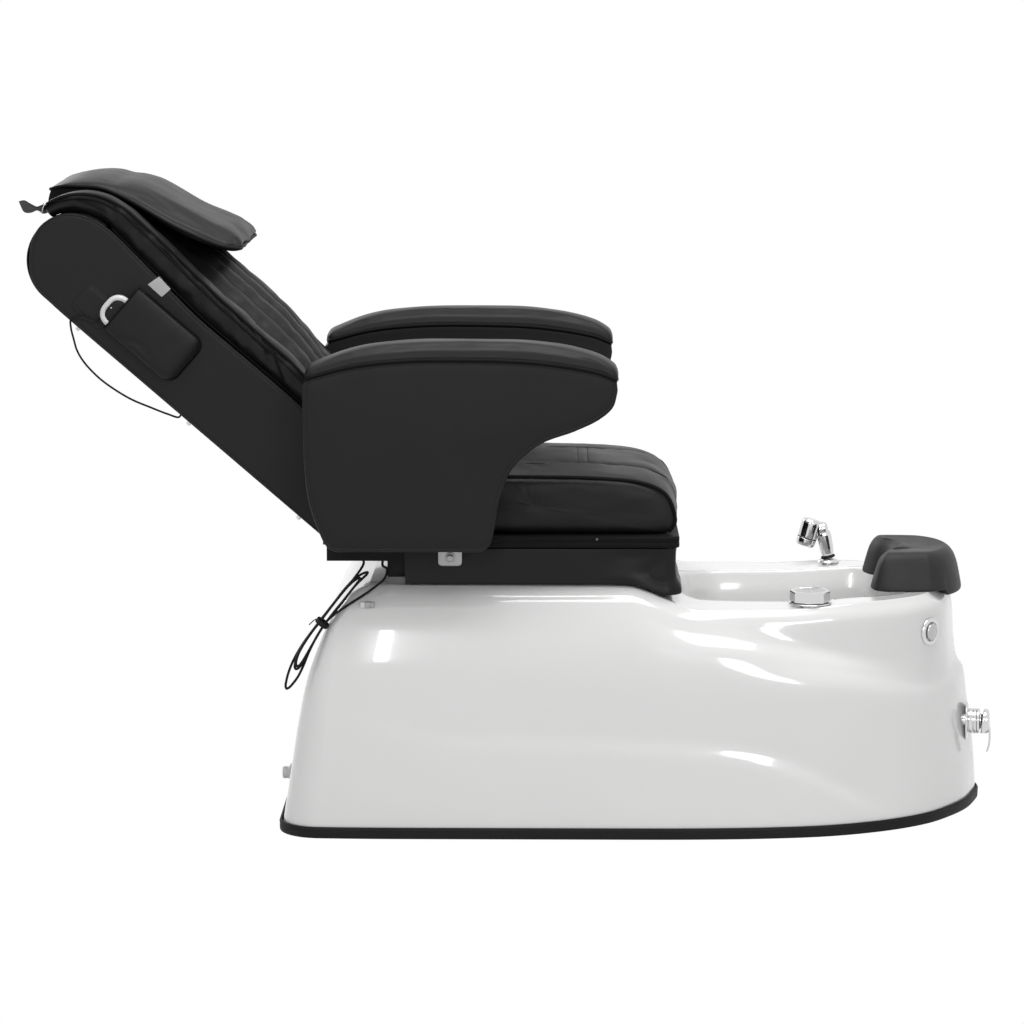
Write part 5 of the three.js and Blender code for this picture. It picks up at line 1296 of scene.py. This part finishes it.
# %% Seams, folds and welts of the cushions
for s in (-1, 1):
    line = np.array([(x, s * SEAT_CHANNEL, BOTTOM + h + w * seat_top(SEAT_CHANNEL)) for x, h,
        w in seat_line if w > 0.05])
    sink(seat_pad, [line], 2.6, 3.2, lambda co, no: ease(co[:, 2], 530, 560, 0, 1))
for x in (-88, -70):
    line = np.array([(x, q, BOTTOM + 98.6 + seat_top(q)) for q in np.linspace(-99, 99, 60)])
    sink(seat_pad, [line], 1.5, 2.4, lambda co, no: np.where((co[:, 2] > 600) & (np.abs(co[:, 1]) < 101), 1.0, 0.0))
ruffle(seat_pad, 1.6, 90, lambda co, no: np.clip(no[:, 2], 0, 1), 3.1)
ruffle(seat_pad, 1.4, 46, lambda co, no: np.clip(np.abs(no[:, 1]) + np.clip(no[:, 0], 0, 1), 0, 1) * ease(co[:, 2],
    530, 560, 0, 1), 8.2, (1, 1, 2.2))

flutes = [pad_column(y) for y in (-140, -100, -60, -20, 20, 60, 100, 140)]
bolsters = [pad_column(-153), pad_column(153)]
sink(back_cushion, flutes, 2.2, 3.5, lambda co, no: np.where(np.abs(co[:, 1]) < 152, 1.0, 0.0))
sink(back_cushion, bolsters, 3.5, 5.5)


def pad_sides(co, no):
    u, v = along_back(co)
    return ease(np.abs(co[:, 1]), 222, 240, 0, 1) * ease(u, 80, 120, 0.4, 1) * ease(v, 154, 166, 0, 1)


ruffle(back_cushion, 6.5, 38, pad_sides, 5.7, (1, 0.5, 1))
ruffle(back_cushion, 3.5, 60, lambda co, no: ease(np.abs(co[:, 1]), 150, 175, 0,
    1) * (1 - ease(np.abs(co[:, 1]), 228, 240, 0, 1)), 1.3, (1, 0.6, 1))
ruffle(back_cushion, 1.5, 30, lambda co, no: np.where(np.abs(co[:, 1]) < 150, 1.0, 0.0), 2.2, (1, 0.35, 1))


def pillow_crease(co, no):
    u, v = along_back(co)
    return np.exp(-(((u - 690) / 12) ** 2))


ruffle(head_cushion, 2.6, 70, None, 4.4, (1, 0.5, 1))
ruffle(head_cushion, 3.4, 26, lambda co, no: ease(along_back(co)[0], 560, 470, 0, 1), 9.1, (0.35, 1, 0.35))
FOLDS = [
    ([(529, 214), (454, 215), (383, 212), (303, 208), (262, 196)], 3.0, 6),
    ([(330, 205), (296, 190), (268, 172), (246, 160)], 7.0, 8),
    ([(372, 206), (350, 190), (330, 166)], 3.2, 7),
    ([(470, 204), (448, 186), (436, 164)], 2.4, 8),
    ([(560, 206), (520, 186), (500, 168)], 2.6, 8),
    ([(668, 205), (646, 188), (634, 176)], 4.0, 6),
]
for s in (-1, 1):
    for line, deep, wide in FOLDS:
        sink(back_cushion, [catmull([back(u, s * 243, v) for u, v in line], 40)], deep, wide, lambda co,
            no: ease(np.abs(co[:, 1]), 205, 232, 0, 1))
co, no = coords(head_cushion), normals(head_cushion)
move(head_cushion, co - no * (2.4 * pillow_crease(co, no) * np.clip(no[:, 2], 0, 1))[:, None])
ruffle(arm_cushion, 1.2, 80, lambda co, no: np.clip(no[:, 2], 0, 1), 6.6)
arm_cushion_far = mirrored(arm_cushion, "arm_cushion_far", "seat", "arm_pad_far")

for name, s in SIDES:
    run = [(x, s * SEAT_CHANNEL, BOTTOM + h + w * seat_top(SEAT_CHANNEL)) for x, h, w in seat_line if w > 0.1]
    welt(f"seat_channel_{name}", run, "seat", 1.4, onto=seat_pad)
for k, x in enumerate((-88, -70)):
    run = [(x, q, BOTTOM + 99 + seat_top(q)) for q in np.linspace(-SEAT_CHANNEL, SEAT_CHANNEL, 20)]
    welt(f"seat_cross_seam_{k}", run, "seat", 0.8, onto=seat_pad)
for name, ring in (("near", seat_near_edge), ("far", seat_far_edge)):
    welt(f"seat_welt_{name}", [p for p in ring if p[2] > BOTTOM + 2], "seat", 3.4)
arm_welt = welt("arm_welt_near", arm_welt_line, "seat", 3.6, True)
mirrored(arm_welt, "arm_welt_far", "seat")
rows = pad_rows()[1]
for name, s in SIDES:
    top_line = [off_back(row, s * 242.5, 0.95 * row[3] + PAD_LIFT) for row in rows]
    welt(f"pad_welt_{name}", top_line, "backrest", 3.2)
    foot_line = [back(u, s * 231.5, v + 2.4) for u, v in rows[:, :2] if u < 640]
    welt(f"pad_foot_welt_{name}", foot_line, "backrest", 2.2)
    second = [off_back(row, s * 244.6, 0.74 * row[3] + PAD_LIFT) for row in rows]
    welt(f"pad_second_welt_{name}", second, "backrest", 2.3)
welt("pillow_welt", pillow_welt_line, "pillow", 3.0, True)


def pillow_gap_shade():
    """A dark wedge of cloth at the head end of the pad that fills the gap under the pillow: painted shade where the
    gap's shadow falls.
    """
    fold = [(766, 148), (761, 136), (755, 124), (747, 119), (742, 130), (735, 150), (722, 172), (702, 191),
        (684, 200), (682, 206), (702, 200), (728, 181), (752, 160), (762, 150)]
    middle = np.mean(fold, 0)
    rings = []
    for y in np.concatenate([[-183, -182, -179], np.linspace(-172, 172, 41), [179, 182, 183]]):
        shrink = 0.06 if abs(y) > 182.5 else 0.02 if abs(y) > 181 else 0.0
        wave_y = 1.4 * math.sin(y / 19)
        rings.append([back(u + (middle[0] - u) * shrink + wave_y * (v < 150), y, v + (middle[1] - v) * shrink) for u,
            v in fold])
    skin("pillow_gap_shade_cloth", rings, PIPING_SEAM_SHADE, "backrest", fine=True)


pillow_gap_shade()
print("welts done")

# %% [markdown]
# ## Backrest trim
# Zip and label at the pad's edge, the pull tab at the head, the handset in its bound pocket.

# %% Pocket and handset
def uv_rings(loop, levels):
    """Rings of a flat shape on the backrest's side: each level is (inset, y)."""
    inward = inward_of(loop)
    return [np.array([back(u, y, v) for u, v in loop + inward * inset]) for inset, y in levels]


def pocket():
    """The bag that holds the handset, with its bound mouth and the seam round it."""
    rings = []
    for u in np.concatenate([[535, 534, 531], np.linspace(526, 405, 20), [400, 395.5, 391.5, 388.3, 386, 385]]):
        edge = u - 385
        half = 46 if edge > 20 else 26 + math.sqrt(max(0, 400 - (20 - edge) ** 2))
        depth = 9 + 17.6 * math.sin(math.pi / 2 * min(1, (edge + 2) / 21)) - 1.2 * math.sin(math.pi * min(1,
            max(0, (edge - 60) / 90)))
        turn = np.linspace(0, 2 * math.pi, 72, endpoint=False)
        c, s = np.cos(turn), np.sin(turn)
        v = 78 + half * squarish(c, 0.42)
        y = -(245.6 + depth / 2) - depth / 2 * squarish(s, 0.42)
        rings.append(np.array([back(u, b, a) for a, b in zip(v, y)]))
    bag = skin("handset_pocket", rings, VINYL, "backrest", "remote_pocket", (0, 3), wall=1.8)
    creases = ((-272, ((500, 40), (470, 52), (450, 49))), (-271, ((430, 118), (425, 96), (436, 78))))
    sink(bag, [catmull([back(u, y, v) for u, v in line], 30) for y, line in creases], 1.4, 5)
    hem = even(rings[1], 120, True)
    tube("pocket_binding", hem, 1.7, PIPING_SEAM_SHADE, "backrest", 8, True)
    seam = even(np.array([back(u, -246.4, v) for u, v in box_loop(383.5, 534, 30.5, 125.5, 21, 160, 8)]), 150, True)
    tube("pocket_seam", seam, 1.3, PIPING_SEAM_SHADE, "backrest", 7, True)


pocket()
patch = box_loop(537, 606, 20, 74, 12, 160, 8)
patch_section = [(0.6, -245.1), (0, -245.5), (0, -246.0), (0.7, -246.5), (2.4, -246.6), (3.0, -246.3), (3.6, -246.6)]
skin("handset_patch", uv_rings(patch, patch_section), VINYL, "backrest", caps=4)

grip = box_loop(404, 562, 38, 98, 24, 160, 8)
body_section = [(3.5, -248.6), (1.2, -249.2), (0.6, -251), (0.6, -263), (8.8, -263.2), (9.8, -264.6), (11.4, -265.0)]
skin("handset_body", uv_rings(grip, body_section), BLACK_PLASTIC, "handset", "remote", 6)
rim_section = [(0.9, -251.5), (0.1, -252.3), (0, -254), (0, -262.5), (0.5, -264.8), (1.9, -266.3), (4.8, -266.9),
    (7.6, -266.3), (8.9, -264.9), (9.2, -263), (9.2, -252.3), (8.2, -251.5), (0.9, -251.5)]
skin("handset_rim", uv_rings(grip, rim_section), WHITE_PLASTIC, "handset", caps=0)
NEAR_WAY = (0, -1, 0)
key = [(0, 0.0), (7, 0.0), (7, 1.1), (6.2, 1.9), (3.2, 1.35), (0, 1.2)]
for way, u in (("up", 470), ("down", 440)):
    at = back(u, -266.4, 68)
    turned(f"handset_key_{way}", key, at, NEAR_WAY, GREY_PLASTIC, f"key_{way}", f"remote_button_{way}", 0.5, 40)
lamp = [(0, 0), (1.4, 0), (1.3, 0.5), (0, 0.8)]
for k, (u, v) in enumerate(((531, 60), (531, 76), (548, 68))):
    at = back(u, -264.9, v)
    turned(f"handset_lamp_{k}", lamp, at, NEAR_WAY, WHITE_PLASTIC, "handset", r=0.3, sides=16, steps=2)
print("handset rim of", len(rim_section) - 1, "rings")

# %% [markdown]
# A blank label on the near side, the webbing tab at the head and the zip beside it.

# %% Label, zip and pull tab
def flag(name, outline, y, thick, material, body):
    """A thin flat piece with a crisp edge."""
    loop = even(np.array(outline, float), 64, True)
    centre = loop.mean(0)
    levels = ((0.985, 0.15), (1, 0.5), (1, thick - 0.5), (0.985, thick - 0.15))
    rings = [upright(centre + (loop - centre) * grow, y - depth) for grow, depth in levels]
    return skin(name, rings, material, body, caps=2, smooth=False)


flag("care_label", [(-839, 963), (-819, 977), (-799, 955), (-815, 941)], -246.2, 1.4, LABEL, "backrest")
tab_top = catmull([(-1080, 1099), (-1070, 1101), (-1058, 1095), (-1047, 1090), (-1036, 1094), (-1020, 1098)], 40)
tab_low = catmull([(-1020, 1083), (-1036, 1077), (-1046, 1083), (-1058, 1079), (-1070, 1080), (-1080, 1099)], 40)
tab = flag("pull_tab", np.vstack([tab_top, tab_low[1:-1]]), -118, 4.4, WEBBING, "backrest")
co = coords(tab)
move(tab, co + np.column_stack([np.zeros(len(co)), 5 * np.sin((co[:, 0] + 1034) / 14), np.zeros(len(co))]))
zip_line = catmull([(-1014, -246.4, 1104), (-990, -246.6, 1108.5), (-963, -246.6, 1110), (-935, -246.4, 1101),
    (-908, -246, 1087)], 60)
tube("head_zip", zip_line, 2.0, LINING, "backrest", 8, flat=0.5)
stitches("head_zip_teeth", zip_line + [0, -1.2, 0], "backrest", 2.4, 1.3, 0.6, BLACK_PLASTIC)
pull_at = np.array([-1016, -247, 1103])
slider = [(0, -2), (3.2, -2), (3.4, 0), (2.8, 2.4), (0, 2.8)]
turned("zip_slider", slider, pull_at, NEAR_WAY, SATIN, "backrest", sides=20)
pull_line = even([pull_at + [0, -2.4, -1], pull_at + [-3, -3, -8], pull_at + [-5, -2.6, -17]], 12)
tube("zip_pull", pull_line, 1.7, SATIN, "backrest", 8, flat=0.45)
print("zip", round(length_of(zip_line)), "mm")

# %% [markdown]
# A row of stitches up each side panel, by the rear edge.

# %% Stitching
for side, s in SIDES:
    u_line = [(72, 4.6), (180, 4.6), (420, 4.6), (565, 4.6)]
    line = np.array([back(u, s * 244.9, v) for u, v in catmull(u_line, 60)])
    stitches(f"side_stitch_{side}", line, "backrest", 6, 3.6, 0.45)
print("stitch rows", round(length_of(line)), "mm long")

# %% [markdown]
# The loose plug at the end of the harness, in three steps of housing.

# %% Harness plug
plug_low, plug_high = (np.array(corner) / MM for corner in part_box("harness_connector"))
middle, reach = (plug_low + plug_high) / 2, (plug_high - plug_low) / 2
plug_parts = [
    (-0.55, 0.3, 0.92, WHITE_PLASTIC, "harness_connector"),
    (0.1, 0.36, 1.0, GREY_PLASTIC, ()),
    (0.7, 0.3, 0.86, GREY_PLASTIC, ()),
]
for k, (along, share, grow, material, node) in enumerate(plug_parts):
    low, high = (middle + [along * reach[0], 0, 0] + sign * reach * [share, grow, grow] for sign in (-1, 1))
    x, y, z = zip(low, high)
    plate(f"plug_part_{k}", x, y[::-1], z, 1.2, material, "base", node)
print("trim done")

# %% [markdown]
# ## Fittings
# Turned chrome pieces with real edges, grooves and seals, in the places of their CAD solids.

# %% Mounting places
DRAIN_AT = (300, 0, BASIN_FLOOR)
DIVERTER_AT = np.array([322, -210, 395.48])
SHOWER_AT = np.array([386, 210, 398.88])
BUTTON_AT, BUTTON_OUT = np.array([539.63, -162.46, 336]), np.array([0.7431, -0.6691, 0])
MIXER_AT, MIXER_OUT = np.array([618.83, -60.71, 152]), np.array([0.99027, -0.13917, 0])

# %% [markdown]
# The drain with its plug, a jet in each side wall and the outlet cap on the rear wall.

# %% Basin fittings
turned("drain_flange", [(21, -30), (23, -30), (25, -0.6), (26, 0.4), (30.6, 0.4), (31.4, 1.4), (29, 3.0), (24, 3.2),
    (22.4, 1.6), (21, -30)], DRAIN_AT, UP, CHROME, "base", "drain_body")
turned("drain_plug", [(0, -20), (5, -20), (5, 3.7), (23, 3.7), (24.6, 4.4), (24.4, 6), (20, 8.4), (12, 9.6),
    (0, 9.9)], DRAIN_AT, UP, CHROME, "stopper", "drain_stopper", 1.2)
turned("drain_seal", [(19.5, 2.7), (22.2, 2.7), (22.4, 3.3), (21, 3.6), (19.5, 3.6), (19.5, 2.7)], DRAIN_AT, UP,
    RUBBER, "stopper", (), 0.2)
for side, sign in SIDES:
    at = np.array([300, sign * 125.68, 215])
    inward_y = (0, -sign, 0)
    turned(f"jet_ring_{side}", [(0, -30), (22, -30), (22, 0.6), (29, 0.4), (30, 1.6), (29.4, 3.4), (25, 5.0),
        (21.6, 7.4), (19.4, 7.9), (17.6, 7.2), (16.4, 4.4), (0, 4.2)], at, inward_y, GREY_PLASTIC, "base",
        f"jet_{side}")
    turned(f"jet_eye_{side}", [(5.4, 4.0), (9.4, 4.4), (12.6, 6.4), (13.4, 8.6), (11.6, 9.9), (7.4, 9.6), (5.6, 8.2),
        (5.4, 4.0)], at, inward_y, CHROME, "base", (), 0.6, 48)
turned("outlet_cap", [(0, -20), (12, -20), (12, 0.4), (16.6, 0.5), (17, 2), (16.4, 4.8), (12.2, 6), (11.6, 7),
    (11.2, 9), (10.4, 9.4), (10.4, 10.6), (11.2, 11), (10.8, 17.6), (9.4, 18.8), (0, 19)], (-608.02, -60, 52),
    (-1, 0, 0), WHITE_PLASTIC, "base", "rear_outlet")
print("basin fittings placed")

# %% [markdown]
# An eight-sided knob on a turned ring, on the near rim.

# %% Diverter
turned("diverter_ring", [(16, -24), (18.6, -24), (18.8, -0.2), (20, 0.35), (37.4, 0.35), (38, 1.2), (37.2, 2.5),
    (33, 3.1), (18, 3.1), (16, 2.4), (16, -24)], DIVERTER_AT, UP, CHROME, "base", "diverter_flange")


def eight_sided(name, profile, at, material, body, node, corner=0.06):
    """A knob of eight flats with small rounded corners between them."""
    turns = []
    for k in range(8):
        middle = math.radians(45 * k + 14)
        turns += [middle - math.radians(22.5) * (1 - corner), middle, middle + math.radians(22.5) * (1 - corner)]
    turns = np.array(turns)
    flat = np.tile([1, math.cos(math.radians(22.5 * (1 - corner))), 1], 8)
    way = np.column_stack([flat * np.cos(turns), flat * np.sin(turns), np.zeros(24)])
    return skin(name, [at + r * way + [0, 0, h] for r, h in profile], material, body, node, smooth=False)


knob = [(14.2, -18), (14.2, 3.6), (34.6, 3.6), (35.8, 4.8), (36, 6), (36, 20.6), (35.2, 22.4), (33.6, 23.3),
    (29.6, 23.5), (28.8, 22.8)]
eight_sided("diverter_handle", knob, DIVERTER_AT, CHROME, "diverter", "diverter_knob")
turned("diverter_cap", [(0, 21.6), (28.4, 21.6), (28.4, 22.9), (27.4, 23.3), (0, 23.5)], DIVERTER_AT, UP, SATIN,
    "diverter", (), 0.3)
print("diverter at", DIVERTER_AT)

# %% [markdown]
# The hand shower stands on the far rim: flange, stem, its hose with a wound cover, and the head.

# %% Hand shower
LEAN = np.array([-0.2, 0, 1]) / math.hypot(0.2, 1)
NECK_FOOT = SHOWER_AT + [0, 0, 8.6]
SWIVEL = NECK_FOOT + LEAN * 50
HEAD_AXIS = np.array([-0.28, 0, -1]) / math.hypot(0.28, 1)
HEAD_MIDDLE = SWIVEL + [-27, 0, 1]
HEAD_TOP = HEAD_MIDDLE - HEAD_AXIS * 24
turned("shower_ring", [(8.4, -16), (14.4, -16), (14.6, -0.2), (15.6, 0.35), (20.6, 0.35), (21, 1.4), (19.6, 3.4),
    (14.2, 6.6), (11, 7), (8.4, 6.6), (8.4, -16)], SHOWER_AT, UP, CHROME, "base", "shower_flange")
turned("shower_stem", [(0, 0), (10.4, 0), (11, 0.8), (10.6, 4.4), (11.8, 8), (13, 18), (13.6, 34), (13.4, 44),
    (12, 50), (8, 53), (0, 53.6)], NECK_FOOT, LEAN, CHROME, "shower", "shower_neck", 1.0)
turned("shower_seal", [(10.9, -0.2), (13, 0.1), (13.5, 1.4), (13.2, 3.2), (12.2, 4.2), (11.1, 4.0), (10.9, -0.2)],
    NECK_FOOT, LEAN, RUBBER, "shower", (), 0.6)
turned("shower_hose_cover", [(0, -158), (6.9, -158), (7, 6.9), (0, 6.9)], SHOWER_AT, UP, ZINC, "shower",
    "shower_hose", 0.2, 40)
COIL_TURNS, COIL_RADIUS, COIL_PITCH = 60, 7.0, 2.6
t = np.linspace(0, 2 * math.pi * COIL_TURNS, COIL_TURNS * 20)
coil = SHOWER_AT + np.column_stack([COIL_RADIUS * np.cos(t), COIL_RADIUS * np.sin(t),
    -150 + COIL_PITCH * t / (2 * math.pi)])
tube("shower_hose_winding", coil, 0.7, ZINC, "shower", 5)
head_shape = [(0, 0), (14, 0.1), (17.6, 1.2), (20.2, 4), (21, 8), (21, 31.4), (20.4, 32), (20.4, 33.4), (21, 34),
    (20.8, 41), (19.4, 45.4), (17.6, 46.6), (16.6, 45.8), (16.2, 44.4), (0, 44.2)]
head_profile = [(r * 0.88, h * 1.12) for r, h in head_shape]
turned("spray_head_body", head_profile, HEAD_TOP, HEAD_AXIS, CHROME, "spray_head", "shower_head", 0.9)
turned("spray_head_seam", [(17.4, 35.9), (18.45, 36.0), (18.45, 37.3), (17.4, 37.4), (17.4, 35.9)], HEAD_TOP,
    HEAD_AXIS, RUBBER, "spray_head", (), 0.1)
turned("spray_face", [(0, 49.2), (13.5, 49.2), (14, 50.1), (12.8, 50.9), (0, 51.1)], HEAD_TOP, HEAD_AXIS,
    GREY_PLASTIC, "spray_head", (), 0.4, 48)
s1, s2 = square_to(HEAD_AXIS)
for k, (count, radius) in enumerate(((1, 0), (6, 5), (12, 10.4))):
    for j in range(count):
        q = 2 * math.pi * j / count
        at = HEAD_TOP + HEAD_AXIS * 51.0 + radius * (math.cos(q) * s1 + math.sin(q) * s2)
        turned(f"spray_nub_{k}_{j}", [(0, -0.4), (1.1, -0.4), (1.0, 0.7), (0.5, 1.1), (0, 1.1)], at, HEAD_AXIS,
            RUBBER, "spray_head", (), 0.3, 10)
arm_axis = SWIVEL + [-1, 0, 5.2] - HEAD_MIDDLE
reach = float(np.linalg.norm(arm_axis))
turned("spray_swivel", [(0, 8), (11.6, 8), (12.8, 11), (13, 15), (12.2, 15.8), (12.2, 18.2), (13.4, 19), (13.8, 24),
    (13, 30), (9.6, 35), (0, reach + 10)], HEAD_MIDDLE, arm_axis, CHROME, "spray_head", (), 1.0, 56)
turned("spray_swivel_band", [(11.8, 15.4), (13.2, 15.6), (13.5, 17), (13.2, 18.4), (11.8, 18.6), (11.8, 15.4)],
    HEAD_MIDDLE, arm_axis, RUBBER, "spray_head", (), 0.4, 56)
print("shower swivels at", np.round(SWIVEL, 1))

# %% [markdown]
# The push button high on the bow, and the mixer low on it with its turning cap and lever.

# %% Air button and mixer
turned("button_ring", [(17, -20), (19, -20), (19, 0.2), (20, 0.35), (24.2, 0.35), (24.9, 1.4), (24.2, 3.2),
    (21.4, 4.8), (18.6, 5.0), (17.6, 4.4), (16.2, 1.8), (15.9, 1.5), (15.9, -1), (17, -20)], BUTTON_AT, BUTTON_OUT,
    CHROME, "base", "button_bezel")
turned("button_dome", [(0, -14), (9, -14), (9, 4.6), (14.2, 4.7), (14.9, 5.6), (14.6, 7.2), (12.4, 8.8), (9.2, 9.1),
    (8.4, 8.6), (7.6, 8.9), (4, 10.0), (0, 10.3)], BUTTON_AT, BUTTON_OUT, SATIN, "spa_button", "air_button")
turned("mixer_plate", [(0, 0.35), (34.4, 0.35), (35, 1.4), (34, 3.6), (30, 4.9), (24, 5.4), (23, 6.2), (0, 6.2)],
    MIXER_AT, MIXER_OUT, CHROME, "base", (), 0.8)
turned("mixer_barrel", [(0, -26), (12, -26), (12, 5), (22.6, 5.4), (23.2, 7), (23.1, 12.4), (22.0, 13.1),
    (22.0, 14.1), (23.1, 14.8), (23.1, 19.2), (22.4, 19.9), (0, 19.9)], MIXER_AT, MIXER_OUT, CHROME, "base",
    "mixer_body")
CAP_AT = MIXER_AT + MIXER_OUT * 20.3
turned("mixer_turn_cap", [(0, 0.05), (22.4, 0.05), (23.1, 0.7), (23.1, 4.3), (22.4, 5.1), (14.2, 5.6), (14.0, 7.4),
    (13.2, 9.4), (11, 11.8), (8, 13.4), (0, 15.2)], CAP_AT, MIXER_OUT, CHROME, "temperature_cap", "mixer_cap")
turned("mixer_seam", [(19.8, 19.95), (20.8, 20.0), (20.8, 20.25), (19.8, 20.3), (19.8, 19.95)], MIXER_AT, MIXER_OUT,
    RUBBER, "base", (), 0.05)
PIVOT = CAP_AT + MIXER_OUT * 3
side_way = np.array([-MIXER_OUT[1], MIXER_OUT[0], 0])


def lever_shell():
    """The lever's drum, its face slanted, and the blade that hangs from it."""
    drum = [(0, 15.6), (20.4, 15.6), (20.4, 4.4), (21.6, 3.6), (22.6, 4.4), (22.8, 6), (22.8, 13.4), (22.2, 16.4),
        (19.6, 19), (13, 20.4), (0, 20.9)]
    shell = turned("lever_shell", drum, PIVOT, MIXER_OUT, CHROME, "flow_lever", "mixer_lever", 0.8)
    co = coords(shell)
    ahead = (co - PIVOT) @ MIXER_OUT
    slant = 3.0 * (1 + (co[:, 2] - PIVOT[2]) / 22.8) * ease(ahead, 14, 5, 0, 1)
    move(shell, co + np.outer(slant, MIXER_OUT))
    blade = catmull([(17.6, 4, 13), (19.4, -6, 14.6), (21.2, -18, 14), (21.6, -30, 12.8), (20.6, -42, 11.4),
        (18.4, -51, 10.6), (16.6, -56, 9.4)], 46)
    rings = []
    for i, ((ahead, z, half), t) in enumerate(zip(blade, np.gradient(blade[:, :2], axis=0))):
        n = np.array([-t[1], t[0]]) / np.linalg.norm(t)
        n = n if n[0] > 0 else -n
        swell = min(1, 0.25 + min(i, len(blade) - 1 - i) / 5)
        ring = []
        for q in np.linspace(0, 2 * math.pi, 26, endpoint=False):
            a = half * (0.86 + 0.14 * swell) * squarish(math.cos(q), 0.5)
            b = 1.9 * swell * squarish(math.sin(q), 0.7) - 0.9 * (a / half) ** 2
            ring.append(PIVOT + MIXER_OUT * (ahead + n[0] * b) + side_way * a + np.array([0, 0, z + n[1] * b]))
        rings.append(ring)
    skin("lever_blade", rings, CHROME, "flow_lever", caps=2)


lever_shell()
print("mixer at", MIXER_AT)

# %% [markdown]
# The foam saddle over the bow, dished on top, with a peg under each side.


# %% Footrest saddle
def footrest_plan():
    rear, front, half = 440, 612, 132
    bow = [(front - 96 + 96 * c, half * s) for c, s in arc(0, 0, 1, -72, 72, 14)]
    lobe = [(rear + 40, half), (rear + 17, half - 5), (rear + 6, half - 15), (rear, half - 44), (rear + 3, 72),
        (rear + 12, 52), (rear + 27, 34), (rear + 34, 18)]
    loop = bow + lobe + [(x, -y) for x, y in lobe[::-1]]
    return even(catmull(loop + loop[:1], 800), 200, True)


SADDLE_FOOT = 401.3


def saddle():
    loop = footrest_plan()
    inward = inward_of(loop)
    centre = np.array([532.0, 0])
    levels = [(5, 0.2), (2, 0), (0.4, 1.4), (0, 4), (1.4, 10), (4, 20), (7, 31), (9.8, 41), (13, 49.6), (16.6, 56.4),
        (21, 61.8), (26, 65.4)]
    rings = []
    hang = ease(loop[:, 0], 573, 579, 0, 1) * 11
    for inset, h in levels:
        flat = loop + inward * inset
        share = max(0, 1 - h / 30)
        rings.append(np.column_stack([flat, SADDLE_FOOT + h - hang * share]))
    rim = loop + inward * 26
    for s in (0.06, 0.13, 0.22, 0.33, 0.46, 0.6, 0.74, 0.87):
        flat = rim * (1 - s) + centre * s
        dish = 1.6 * math.sin(math.pi * min(1, s / 0.2)) if s < 0.2 else 0
        depth = 4.8 * float(ease(s, 0.12, 0.8, 0, 1))
        rings.append(np.column_stack([flat, SADDLE_FOOT + 66.4 + dish - depth * np.exp(-((flat[:, 1] / 95) ** 2))]))
    return skin("foot_saddle", rings, FOAM, "footrest", "footrest_pad", 2, fine=True)


saddle_obj = saddle()
for side, sign in SIDES:
    turned(f"saddle_peg_{side}", [(0, -12.5), (4.6, -12.5), (5.7, -11), (5.8, 0.4), (0, 0.4)],
        (556, sign * 70, SADDLE_FOOT), UP, BLACK_PLASTIC, "footrest", (), 0.6, 24)
print("fittings done")

# %% [markdown]
# ## Studio
# A white sweep that the camera sees as plain white, and soft boxes over and beside the chair.


# %% Floor, lights and sky
def background_rays(tree):
    """1 for the camera's rays and for what metal shows, else 0."""
    path = tree.nodes.new("ShaderNodeLightPath").outputs
    total = path["Is Camera Ray"]
    for kind in ("Is Glossy Ray", "Is Transmission Ray"):
        total = add_node(tree, "Math", {0: total, 1: path[kind]}, operation="MAXIMUM").outputs[0]
    return total


def seen_white(name, bounce):
    """White to the camera, and a plain pale surface to every other ray."""
    made = bpy.data.materials.new(name)
    made.use_nodes = True
    tree = made.node_tree
    tree.nodes.clear()
    pale = add_node(tree, "BsdfDiffuse", {"Color": (bounce, bounce, bounce, 1)})
    glow = add_node(tree, "Emission", {"Color": (1, 1, 1, 1)})
    both = {0: background_rays(tree), 1: pale.outputs[0], 2: glow.outputs[0]}
    add_node(tree, "OutputMaterial", {"Surface": add_node(tree, "MixShader", both).outputs[0]})
    return made


floor_mesh = bpy.data.meshes.new("studio_floor")
floor_mesh.from_pydata([(-40, -40, 0), (40, -40, 0), (40, 40, 0), (-40, 40, 0)], [], [(0, 1, 2, 3)])
studio_floor = bpy.data.objects.new("studio_floor", floor_mesh)
scene.collection.objects.link(studio_floor)
studio_floor.data.materials.append(seen_white("studio white", 0.72))

world = bpy.data.worlds.new("studio sky")
scene.world = world
world.use_nodes = True
tree = world.node_tree
sky = tree.nodes["Background"]
sky.inputs["Color"].default_value = (1, 1, 1, 1)
sky.inputs["Strength"].default_value = 0.40
white = add_node(tree, "Background", {"Color": (1, 1, 1, 1), "Strength": 1})
both = add_node(tree, "MixShader", {0: background_rays(tree), 1: sky.outputs[0], 2: white.outputs[0]})
tree.links.new(both.outputs[0], tree.nodes["World Output"].inputs["Surface"])


def softbox(name, place, aim, size, power):
    light = bpy.data.lights.new(name, "AREA")
    light.shape = "RECTANGLE"
    light.size, light.size_y = size
    light.energy = power
    obj = bpy.data.objects.new(name, light)
    scene.collection.objects.link(obj)
    obj.location = place
    obj.rotation_euler = (Vector(aim) - Vector(place)).to_track_quat("-Z", "Y").to_euler()


softbox("top box", (0.1, -0.5, 3.1), (0, 0, 0.4), (2.4, 1.5), 58)
softbox("near box", (-0.95, -4.68, 2.3), (-0.3, 0, 0.4), (0.2, 1.9), 26)
softbox("right box", (1.8, -4.6, 2.2), (0.25, 0, 0.3), (1.2, 1.0), 34)
softbox("rear box", (-2.6, 2.8, 2.4), (-0.2, 0, 0.7), (1.6, 1.6), 34)
print("lights", len(bpy.data.lights))
